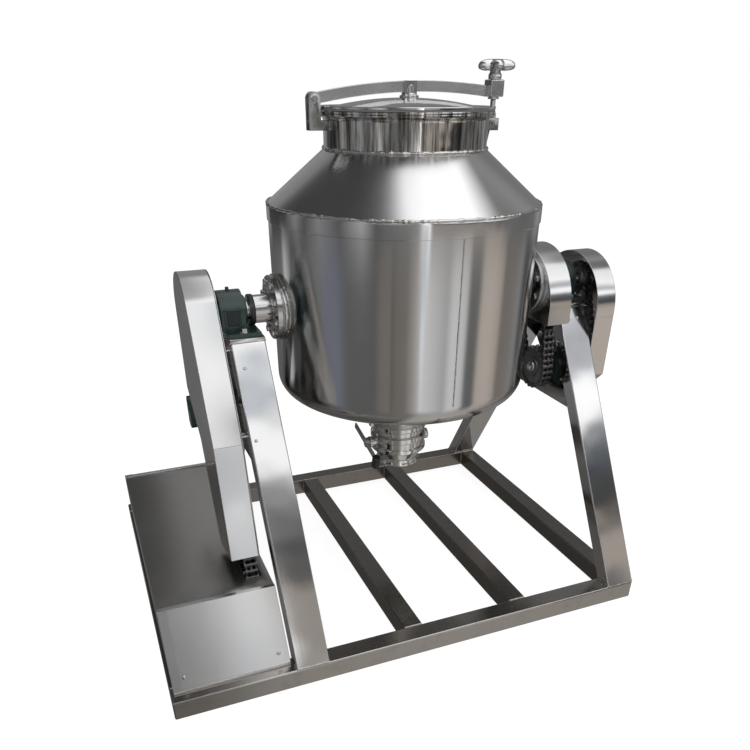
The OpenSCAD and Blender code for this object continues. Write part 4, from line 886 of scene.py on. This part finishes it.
# %% Pillow blocks
# A darker, duller copy of the green paint: painted shade for castings that stand in the guards' shade.
SHADED_GREEN = coated("shaded_paint", "green_castings", (0.006, 0.014, 0.013), 0.5, 260, 0.0006)


SEAT_Z, FOOT_Z, HOUSE_R = 834, 846, 57


def pillow_block(side, foot, house, paint, replaces=()):
    shape = Shape().box((foot - 45, -88, SEAT_Z), (foot + 45, 88, FOOT_Z))
    low, high = house - 33, house + 33
    outline = [(HOUSE_R, FOOT_Z), (HOUSE_R, AXIS)] + arc((0, AXIS), HOUSE_R, 0, 180, 32)[1:-1]
    outline += [(-HOUSE_R, AXIS), (-HOUSE_R, FOOT_Z)]
    shape.prism(outline, low, high)
    for way, face in ((-1, low), (1, high)):
        shape.lathe([(26.5, face), (40, face), (40, face + way * 8.6), (38.6, face + way * 10), (33, face + way * 10),
                     (31, face + way * 7), (26.5, face + way * 7)], (0, 0, AXIS), "X", 64, True)
    shape.box((house - 24, -59, 853), (house + 24, -56, 858)).box((house - 24, -59, 900), (house + 24, -50, 905))
    shape.box((house - 24, -59, 856), (house - 19, -56, 903)).box((house + 19, -59, 856), (house + 24, -56, 903))
    shape.rod((house, 0, 940), (house, 0, 950), 5, 20, 1)
    piece(side + "_pillow_block", shape, paint, "frame", 2.4, 3, 40, replaces)


pillow_block("left", -492, -513, GREEN_PAINT, ("pillow_blocks",))
# A thin dark plate laid in the left block's recess is painted shade.
shade_plate = Shape().box((-531, -57.6, 859), (-495, -56.4, 899))
piece("left_block_recess", shade_plate, SHADED_GREEN, "frame", 0.4)
# The right block takes the painted-shade copy of the green.
pillow_block("right", 548, 544, SHADED_GREEN)
spots = [((x, y, FOOT_Z), TOP_UP) for x in (-492, 548) for y in (-72, 72)]
repeated("seat_bolts", hexagon(12.4, 8.6, 15.0, 2.0), spots, BOLT_STEEL, "frame", replaces=("bearing_bolts",))
spots = [((x, y - 80, 602), TOP_UP) for x in (520, 568) for y in (-54, 54)]
repeated("counter_bolts", hexagon(8.0, 5.4, 10.0, 1.4), spots, BOLT_STEEL, "frame")
# The counter blocks under the guards take the painted-shade copy of the green too.
dressed("counter_blocks", SHADED_GREEN, 1.5, 2)
for node in ("bearing_inserts", "countershaft"):
    dressed(node, TURNED_STEEL)
repeated("shaft_end_bolt", hexagon(9.0, 7.0, 15.0, 2.4), [((429.7, -80, 640), TOP_LEFT)], BOLT_STEEL,
         BODY_OF["countershaft"])
print("pillow blocks: housing radius", HOUSE_R, "mm")


# %% [markdown]
# ## Sheet guards
# Each guard is a flat plate with a strip of sheet bent round its outline. Solidify could thicken both,
# but it would round no corner. The strip follows the outline's points at a constant thickness, so both
# meet in one rounded corner. It is a hair narrower than the plate's width, or points of both would
# fall together and be merged, and the shading would tear.

# %% Guards
def inset(path, distance):
    """A path moved to its right-hand side by a distance, with its corners kept."""
    moved = []
    for i, point in enumerate(path):
        here = Vector(point)
        before, after = Vector(path[max(i - 1, 0)]), Vector(path[min(i + 1, len(path) - 1)])
        ways = [w.normalized() for w in (here - before, after - here) if w.length > 1e-9]
        sides = [Vector((w.y, -w.x)) for w in ways]
        side = sum(sides, Vector((0, 0))) / len(sides)
        moved.append(tuple(here + side * (distance / side.length_squared)))
    return moved


SHEET_T, HAIR = 3, 0.03


def strip(shape, path, low, high, thick):
    inner = inset(path, thick)
    low, high = low + HAIR, high - HAIR
    shape.rings([[(low, *a), (high, *a), (high, *b), (low, *b)] for a, b in zip(path, inner)])


def sheet_guard(name, outline, paths, face, inside, open_x, replaces):
    """outline: the plate's edge; paths: where the strip runs; face to open_x: the guard's width."""
    shape = Shape().prism(outline, face, inside)
    for path in paths:
        strip(shape, path, min(face, open_x), max(face, open_x), SHEET_T)
    return piece(name, shape, SHEET_STEEL, "frame", 1.3, 2, 34, replaces)


ARCH_R = 111.478
arch = arc((0, AXIS), ARCH_R, 154.04, 0, 48)
upper = [(-258.9, 607.4)] + arch + [(ARCH_R, 650)]
sheet_guard("left_cover_upper", upper + [(51.5, 607.4)], [upper], -640, -637, -563.4, ("left_guard_upper",))
front, rear = [(-328.566, 300), (-258.97, 607)], [(-37.67, 544), (-169.8, 270)]
sheet_guard("left_cover_lower", front + [(51, 607)] + rear, [front, rear], -640, -637, -563.4, ("left_guard_lower",))
dressed("left_guard_plate", SHEET_STEEL, 0.8)
dressed("guard_tabs", LEG_STEEL, 0.8)

span = arc((0, 835), 167.178, 180, 0, 56)
hoop = [(-167.178, 795)] + span + [(167.178, 795)]
slot_edge = [(40.5, 795)] + arc((0, AXIS), 40.5, 0, 180, 24) + [(-40.5, 795)]
cover = Shape()
for low in (413, 486):
    cover.prism(hoop + slot_edge, low, low + SHEET_T)
strip(cover, hoop, 413, 489, SHEET_T)
piece("inner_cover", cover, SHEET_STEEL, "frame", 1.3, 2, 34, ("inner_guard",))

HALF = 156.889
span = arc((0, 814), HALF, 180, 0, 56)
upper = [(-HALF, 797.4)] + span + [(HALF, 797.4)]
sheet_guard("right_cover_upper", upper, [upper], 663.5, 660.5, 595.5, ("outer_guard_upper",))
lower = [(HALF, 797), (HALF, 673.1), (46.9, 563.1), (-108.9, 563.1), (-HALF, 611.1), (-HALF, 797)]
sheet_guard("right_cover_lower", lower, [lower], 663.5, 660.5, 595.5, ("outer_guard_lower",))
print("guards:", [o.name for o in bpy.data.objects if "_cover" in o.name])


# %% [markdown]
# ## Chains and wheels
# A chain is walked link by link round its two wheels: the loop's length is shared out evenly, so its
# last link meets its first. Outer and inner links take turns; every joint has a roller and a pin. A
# curve modifier could bend a straight chain, but it would bend the stiff plates too, so the repeating
# tree sets each copy with its own angle.

# %% Chains
PITCH = 19.05


def link_plates(places, thick=2.8):
    """Plates with two round ends and a waist, each at its own place along X."""
    shape = Shape()
    end, waist, half = 7.9, 5.2, PITCH / 2
    edge = arc((0, half), end, -50, 230, 10) + [(-waist, 0)] + arc((0, -half), end, 130, 410, 10) + [(waist, 0)]
    for x in places:
        shape.prism(edge, x - thick / 2, x + thick / 2)
    return shape


def chain_loop(ya, za, ra, yb, zb, rb):
    """Places of the joints along a chain round two wheels, as (y, z)."""
    far = math.hypot(ya - yb, za - zb)
    lean = math.atan2(ya - yb, za - zb)
    taper = math.asin((ra - rb) / far)
    path, top, bottom = [], 200, 120
    for i in range(top):
        a = -lean - taper + (math.pi + 2 * taper) * i / top
        path.append((ya + ra * math.cos(a), za + ra * math.sin(a)))
    for i in range(bottom):
        a = math.pi - lean + taper + (math.pi - 2 * taper) * i / bottom
        path.append((yb + rb * math.cos(a), zb + rb * math.sin(a)))
    lengths = [math.dist(path[i], path[(i + 1) % len(path)]) for i in range(len(path))]
    count = 2 * round(sum(lengths) / PITCH / 2)
    step = sum(lengths) / count
    joints, gone, i = [], 0.0, 0
    for k in range(count):
        while gone + lengths[i] < k * step:
            gone += lengths[i]
            i += 1
        part = (k * step - gone) / lengths[i]
        a, b = path[i], path[(i + 1) % len(path)]
        joints.append((a[0] + (b[0] - a[0]) * part, a[1] + (b[1] - a[1]) * part))
    return joints


def chain(name, plane, half, rows, wheels, node):
    joints = chain_loop(*wheels)
    outer, inner, pins = [], [], []
    for i, (y, z) in enumerate(joints):
        y2, z2 = joints[(i + 1) % len(joints)]
        turn = (math.atan2(-(y2 - y), z2 - z), 0, 0)
        (inner if i % 2 else outer).append(((plane, (y + y2) / 2, (z + z2) / 2), turn))
        pins.append(((plane, y, z), turn))
    middle = [-1.5, 1.5] if rows == 2 else []
    body = BODY_OF[node]
    repeated(name + "_outer_links", link_plates([1.5 - half, half - 1.5]), outer, CHAIN_STEEL, body, replaces=(node,))
    repeated(name + "_inner_links", link_plates([4.6 - half, half - 4.6] + middle), inner, CHAIN_STEEL, body)
    roller = Shape().rod((3.4 - half, 0, 0), (half - 3.4, 0, 0), 5.8, 14, 0.4)
    roller.rod((0.05 - half, 0, 0), (half - 0.05, 0, 0), 3.2, 10, 0.4)
    repeated(name + "_rollers", roller, pins, CHAIN_STEEL, body)


chain("main", -587.316, 18.316, 2, (0, AXIS, 97.18, -300.196, 165, 54.85), "main_chain")
chain("inner", 451, 18.316, 2, (0, AXIS, 97.18, -80, 640, 60.89), "inner_chain")
chain("outer", 629.5, 8.3625, 1, (0, AXIS, 45.81, -80, 640, 60.89), "outer_chain")


# %% [markdown]
# ## Hood
# The drive stands under a hood. Its front and back are sloped sheets that lean as the legs do, each
# with a flange on the top sheet. A thin doubled edge and round screws are pieces of their own, because
# that is where the light catches.

# %% Hood panels
HOOD_LEFT, HOOD_RIGHT, HOOD_LOW, HOOD_TOP = -861.0, -543.0, 66.0, 250.0
LEAN = math.atan(LEG_LEAN)


PANEL_FOOT, FLANGE_IN = 531, 14


def hood_panel(side, way, node):
    """A sloped sheet with a flange on the top sheet, a doubled left edge and two round screws."""
    face = lambda z: PANEL_FOOT - (z - TUBE) * LEG_LEAN
    thick, under = SHEET_T / math.cos(LEAN), HOOD_TOP - SHEET_T
    outline = [(face(HOOD_LOW), HOOD_LOW), (face(HOOD_TOP), HOOD_TOP), (face(HOOD_TOP) - FLANGE_IN, HOOD_TOP),
               (face(HOOD_TOP) - FLANGE_IN, under), (face(under) - thick, under), (face(HOOD_LOW) - thick, HOOD_LOW)]
    shape = Shape().prism([(way * y, z) for y, z in outline], HOOD_LEFT, HOOD_RIGHT)
    piece(side + "_hood_panel", shape, PANEL_STEEL, "frame", 0.9, 2, 32, (node,))
    out, up = math.cos(LEAN), math.sin(LEAN)
    edge = ((HOOD_LOW + 2, 0), (HOOD_TOP - 0.5, 0), (HOOD_TOP - 0.5, 1), (HOOD_LOW + 2, 1))
    doubled = [(way * (face(z) + d * out), z + d * up) for z, d in edge]
    piece(side + "_hood_strip", Shape().prism(doubled, HOOD_LEFT + 0.5, HOOD_LEFT + 26), LEG_STEEL, "frame", 0.3)
    head = Shape().lathe([(5.4, 0), (5.4, 0.8), (4.6, 1.8), (2.6, 2.4), (0.4, 2.5)], steps=24)
    turn = (-way * (math.pi / 2 - LEAN), 0, 0)
    spots = [((x, way * face(HOOD_LOW + 28), HOOD_LOW + 28), turn) for x in (HOOD_LEFT + 34, HOOD_RIGHT - 28)]
    repeated(side + "_hood_screws", head, spots, BOLT_STEEL, "frame")


hood_panel("front", -1, "hood_front_panel")
hood_panel("back", 1, "hood_back_panel")
head = Shape().lathe([(4.6, 0), (4.6, 0.8), (3.8, 1.8), (2.2, 2.4), (0.4, 2.5)], steps=24)
spots = [((x, -leg_face(z) - 0.2, z + 0.1), (math.pi / 2 - LEAN, 0, 0))
         for x, z in ((-511, 766), (528, 790), (560, 792), (-520, 600))]
repeated("guard_screws", head, spots, BOLT_STEEL, "frame")
print("hood:", HOOD_RIGHT - HOOD_LEFT, "mm wide")


# %% [markdown]
# ## Wheels, drive and stirrer
# These hardly show, or only through a slot. Their solids already have the teeth, fins and blades, so a
# copy with merged points and rounded edges is enough, and nothing is drawn twice.

# %% Wheels, hood sheets and the pieces inside
REST = {
    HOOD_STEEL: ["deck_plate", "hood_shell"],
    TURNED_STEEL: ["stirrer_shaft", "stirrer_blades", "tensioner_bracket"],
    WHEEL_STEEL: ["motor_sprocket", "main_sprocket", "idler_sprocket", "counter_sprockets", "drum_sprocket",
                  "stirrer_sprocket"],
    GREEN_PAINT: ["main_gearbox", "main_motor", "motor_cowl", "tensioner_arm"],
    BLACK_PLASTIC: ["terminal_box"],
}
for paint, names in REST.items():
    for node in names:
        dressed(node, paint, 1.0, 2)
print("dressed copies:", sum(len(names) for names in REST.values()))


# %% [markdown]
# ## Studio
# Steel shows the room it stands in, so its look is made with what it mirrors, not with its colour. A
# tent of light and dark boards, seen by reflections only, stands round the object. Each place on the
# steel mirrors one place of the tent, found by following the mirrored ray, and the rows below say how
# bright the tent is there. Two soft lamps and an even sky light everything else. The floor is white to
# the camera and keeps the object's soft shadow.

# %% Studio
SKY, FLOOR_HALF, FLOOR_GLOW, FLOOR_SHARE = 0.75, 12, 1.16, 0.78


def studio():
    world = bpy.data.worlds.new("studio")
    bpy.context.scene.world = world
    world.use_nodes = True
    tree = world.node_tree
    even = tree.nodes["Background"]
    even.inputs["Color"].default_value = grey(1.0)
    even.inputs["Strength"].default_value = SKY
    white = tree.nodes.new("ShaderNodeBackground")
    white.inputs["Color"].default_value = grey(1.0)
    path, mix = tree.nodes.new("ShaderNodeLightPath"), tree.nodes.new("ShaderNodeMixShader")
    either = tree.nodes.new("ShaderNodeMath")
    either.operation = "MAXIMUM"
    seen = tree.nodes.new("ShaderNodeMath")
    seen.operation = "MAXIMUM"
    tree.links.new(path.outputs["Is Camera Ray"], either.inputs[0])
    tree.links.new(path.outputs["Is Glossy Ray"], either.inputs[1])
    tree.links.new(either.outputs[0], seen.inputs[0])
    tree.links.new(path.outputs["Is Transmission Ray"], seen.inputs[1])
    tree.links.new(seen.outputs[0], mix.inputs[0])
    tree.links.new(even.outputs[0], mix.inputs[1])
    tree.links.new(white.outputs[0], mix.inputs[2])
    tree.links.new(mix.outputs[0], tree.nodes["World Output"].inputs["Surface"])
    bpy.context.scene.view_settings.view_transform = "Standard"


def floor_piece():
    mesh = bpy.data.meshes.new("floor")
    size = FLOOR_HALF
    mesh.from_pydata([(-size, -size, 0), (size, -size, 0), (size, size, 0), (-size, size, 0)], [], [(0, 1, 2, 3)])
    floor = bpy.data.objects.new("floor", mesh)
    bpy.context.scene.collection.objects.link(floor)
    paint = Paint("floor_white", Roughness=0.9, Base_Color=grey(0.85))
    tree = paint.tree
    glow = tree.nodes.new("ShaderNodeEmission")
    glow.inputs["Color"].default_value = grey(1.0)
    glow.inputs["Strength"].default_value = FLOOR_GLOW
    mix, path = tree.nodes.new("ShaderNodeMixShader"), tree.nodes.new("ShaderNodeLightPath")
    share = tree.nodes.new("ShaderNodeMath")
    share.operation = "MULTIPLY"
    share.inputs[1].default_value = FLOOR_SHARE
    tree.links.new(path.outputs["Is Camera Ray"], share.inputs[0])
    tree.links.new(share.outputs[0], mix.inputs[0])
    tree.links.new(paint.shader.outputs[0], mix.inputs[1])
    tree.links.new(glow.outputs[0], mix.inputs[2])
    tree.links.new(mix.outputs[0], tree.nodes["Material Output"].inputs["Surface"])
    mesh.materials.append(paint.material)
    floor.visible_glossy = False


studio()
floor_piece()
print("floor:", 2 * FLOOR_HALF, "m square")


# %% [markdown]
# Rows of boards, low to high. Each stop is a place round the drum, from -X anticlockwise, and a
# brightness. The two leg rows run up the tent instead, where the leaning legs look. A real studio has
# the same: dark boards give round steel its edges, and light ones give it its shine.

# %% Rows of boards
FLOOR_ROW = [(0.0, 0.1), (0.15, 0.16), (0.21, 0.2), (0.24, 0.42), (0.3, 0.46), (0.38, 0.44), (0.5, 0.25), (0.7, 0.2),
             (0.8, 0.09), (1.0, 0.1)]
WALL_ROW = [(0.0, (0.2, 0.2, 0.25, 1)), (0.04, (0.2, 0.21, 0.26, 1)), (0.062, 0.14), (0.125, 0.13),
            (0.14, grey(0.19, 0.09)), (0.16, grey(0.2, 0.1)), (0.165, grey(0.12, 0.1)), (0.172, grey(0.17, 0.1)),
            (0.196, grey(0.2, 0.1)),
            (0.216, grey(0.42, 0.06)), (0.236, 0.8), (0.262, 0.66), (0.285, 0.5), (0.3, 0.8), (0.33, 0.7),
            (0.338, 0.16), (0.36, 0.14), (0.372, grey(0.5, 0.12)), (0.4, grey(0.52, 0.12)), (0.424, grey(0.44, 0.12)),
            (0.436, grey(0.2, 0.1)), (0.47, grey(0.22, 0.1)), (0.5, 0.28), (0.52, 0.08), (0.62, 0.1), (0.8, 0.12),
            (0.86, 0.2), (0.872, 0.7), (0.888, 0.4), (0.905, 0.07), (0.942, 0.05), (0.962, 0.2)]
HIGH_ROW = [(0.0, 0.3), (0.05, 0.12), (0.1, 0.5), (0.13, 0.1), (0.19, 0.22), (0.216, 0.34), (0.228, 1.15),
            (0.243, 1.5), (0.29, 1.0), (0.34, 0.85), (0.39, 0.95), (0.41, 0.2), (0.48, 0.16), (0.53, 0.2),
            (0.555, 0.34), (0.59, 0.2), (0.61, 0.2), (0.73, 0.22), (0.75, 0.3), (0.795, 0.26), (0.81, 0.06), (0.89, 0.05),
            (0.93, 0.3), (0.96, 0.1), (1.0, 0.3)]
LEFT_LEG_ROW = [(0.0, grey(0.3, 0.1)), (0.28, grey(0.33, 0.1)), (0.33, 0.08), (0.4, 0.1), (0.47, 0.16), (0.51, 0.4),
                (0.55, 1.3), (0.64, 1.2), (0.68, 0.9), (0.73, (0.5, 0.55, 0.62, 1)), (0.79, 1.2), (1.0, 1.2)]
RIGHT_LEG_ROW = [(0.0, grey(0.39, 0.12)), (0.27, grey(0.39, 0.12)), (0.31, 0.055), (0.38, 0.06),
                 (0.44, (0.09, 0.1, 0.115, 1)), (0.49, (0.13, 0.14, 0.155, 1)), (0.52, 1.3), (0.6, 1.35),
                 (0.64, (0.5, 0.52, 0.56, 1)), (0.7, (0.3, 0.31, 0.34, 1)), (0.75, (0.5, 0.52, 0.56, 1)), (0.8, 1.2)]
TOP_ROW = [(0.0, 0.05), (0.36, 0.06), (0.42, 0.12), (0.45, 0.4), (0.5, 1.3), (0.6, 1.5), (0.8, 1.5), (0.9, 1.35),
           (1.0, 1.0)]


print("boards:", len(FLOOR_ROW + WALL_ROW + HIGH_ROW + LEFT_LEG_ROW + RIGHT_LEG_ROW + TOP_ROW), "stops")


# %% [markdown]
# One shell carries all the rows. Its material works out which way each place lies from the drum's
# middle: `around` is the bearing and `rise` the height, as shares. A slow noise breaks the rows up, as
# folds and gaps do in a real tent. Cameras, lamps and shadows don't see the shell.

# %% Tent and lamps
TENT_MIDDLE_Z = 0.9


def tent():
    """A closed shell of boards round the object, seen in reflections only."""
    shell = Shape()
    profile = [(20, -3000), (2600, -3000), (2600, 2200), (2200, 3200), (1200, 3800), (20, 4000)]
    shell.lathe(profile, steps=64)
    mesh = bpy.data.meshes.new("light_tent")
    mesh.from_pydata([(p.x * MM + DRUM_X, p.y * MM, p.z * MM) for p in shell.points], [], shell.faces)
    made = bpy.data.objects.new("light_tent", mesh)
    bpy.context.scene.collection.objects.link(made)
    paint = Paint("tent_boards")
    spot = paint.place(centre=(DRUM_X, 0, TENT_MIDDLE_Z))
    split = paint.node("ShaderNodeSeparateXYZ", {}, {0: spot})
    x, y, z = (Value(paint, split.socket.node.outputs[i]) for i in range(3))
    across = (x * x + y * y).math("POWER", 0.5)
    rise = z.math("ARCTAN2", across) / (math.pi / 2)
    around = y.math("ARCTAN2", x) / math.tau + 0.5
    row = lambda stops, place: paint.node("ShaderNodeValToRGB", {"stops": stops}, {0: place})
    patches = paint.speckle(paint.place((1.0, 1.0, 1.7)), 1.9, 3.0, 0.6)
    step = paint.between(rise + 0.87 * (around - 0.26) + 0.12 * (patches - 0.5), -0.1, 0.6)
    ladder = paint.mixed(paint.between(around, 0.3, 0.32), row(LEFT_LEG_ROW, step), row(RIGHT_LEG_ROW, step))
    front = paint.between(around, 0.2385, 0.2415) * paint.between(around, 0.43, 0.4)
    high = paint.mixed(front, row(HIGH_ROW, around), ladder)
    shade = paint.mixed(paint.between(rise, -0.07, -0.04), row(WALL_ROW, around), high)
    guard = paint.between(around, 0.225, 0.228) * paint.between(around, 0.237, 0.234)
    guard = guard * paint.between(rise, -0.3, -0.2)
    blotch = paint.mixed(paint.between(patches + 0.4 * rise, 0.42, 0.56), (0.62, 0.66, 0.72, 1), grey(1.4))
    shade = paint.mixed(guard, shade, blotch)
    crest = paint.between(around, 0.395, 0.41) * paint.between(around, 0.49, 0.47) * paint.between(rise, 0.2, 0.28)
    shade = paint.mixed(crest, shade, grey(1.1))
    shade = paint.mixed(paint.between(rise, 0.52, 0.66), shade, row(TOP_ROW, paint.between(x, -2.6, 2.6)))
    warm = paint.mixed(paint.between(patches, 0.35, 0.65), (1.12, 1.0, 0.86, 1), (0.97, 1.0, 1.03, 1))
    floor = paint.node("ShaderNodeMix", {"data_type": "RGBA", "blend_type": "MULTIPLY"},
                       {0: 1.0, 6: row(FLOOR_ROW, around), 7: warm}, out=2)
    shade = paint.mixed(paint.between(rise, -0.44, -0.3), floor, shade)
    glow = paint.node("ShaderNodeEmission", {}, {"Color": shade, "Strength": 1.0})
    paint.tree.links.new(glow.socket, paint.tree.nodes["Material Output"].inputs["Surface"])
    mesh.materials.append(paint.material)
    made.visible_camera = made.visible_diffuse = made.visible_shadow = False
    made.visible_transmission = made.visible_volume_scatter = False


def lamp(name, place, aim, size, power):
    data = bpy.data.lights.new(name, "AREA")
    data.shape, data.size, data.energy = "DISK", size, power
    made = bpy.data.objects.new(name, data)
    made.location = place
    made.rotation_euler = (Vector(aim) - Vector(place)).to_track_quat("-Z", "Y").to_euler()
    bpy.context.scene.collection.objects.link(made)


tent()
lamp("soft_key", (-1.6, -2.6, 3.4), (0.1, 0, 0.7), 1.8, 60)
lamp("soft_fill", (2.6, -1.8, 2.6), (0.1, 0, 0.7), 1.6, 30)
print("studio:", len(bpy.data.lights), "lamps and a tent")
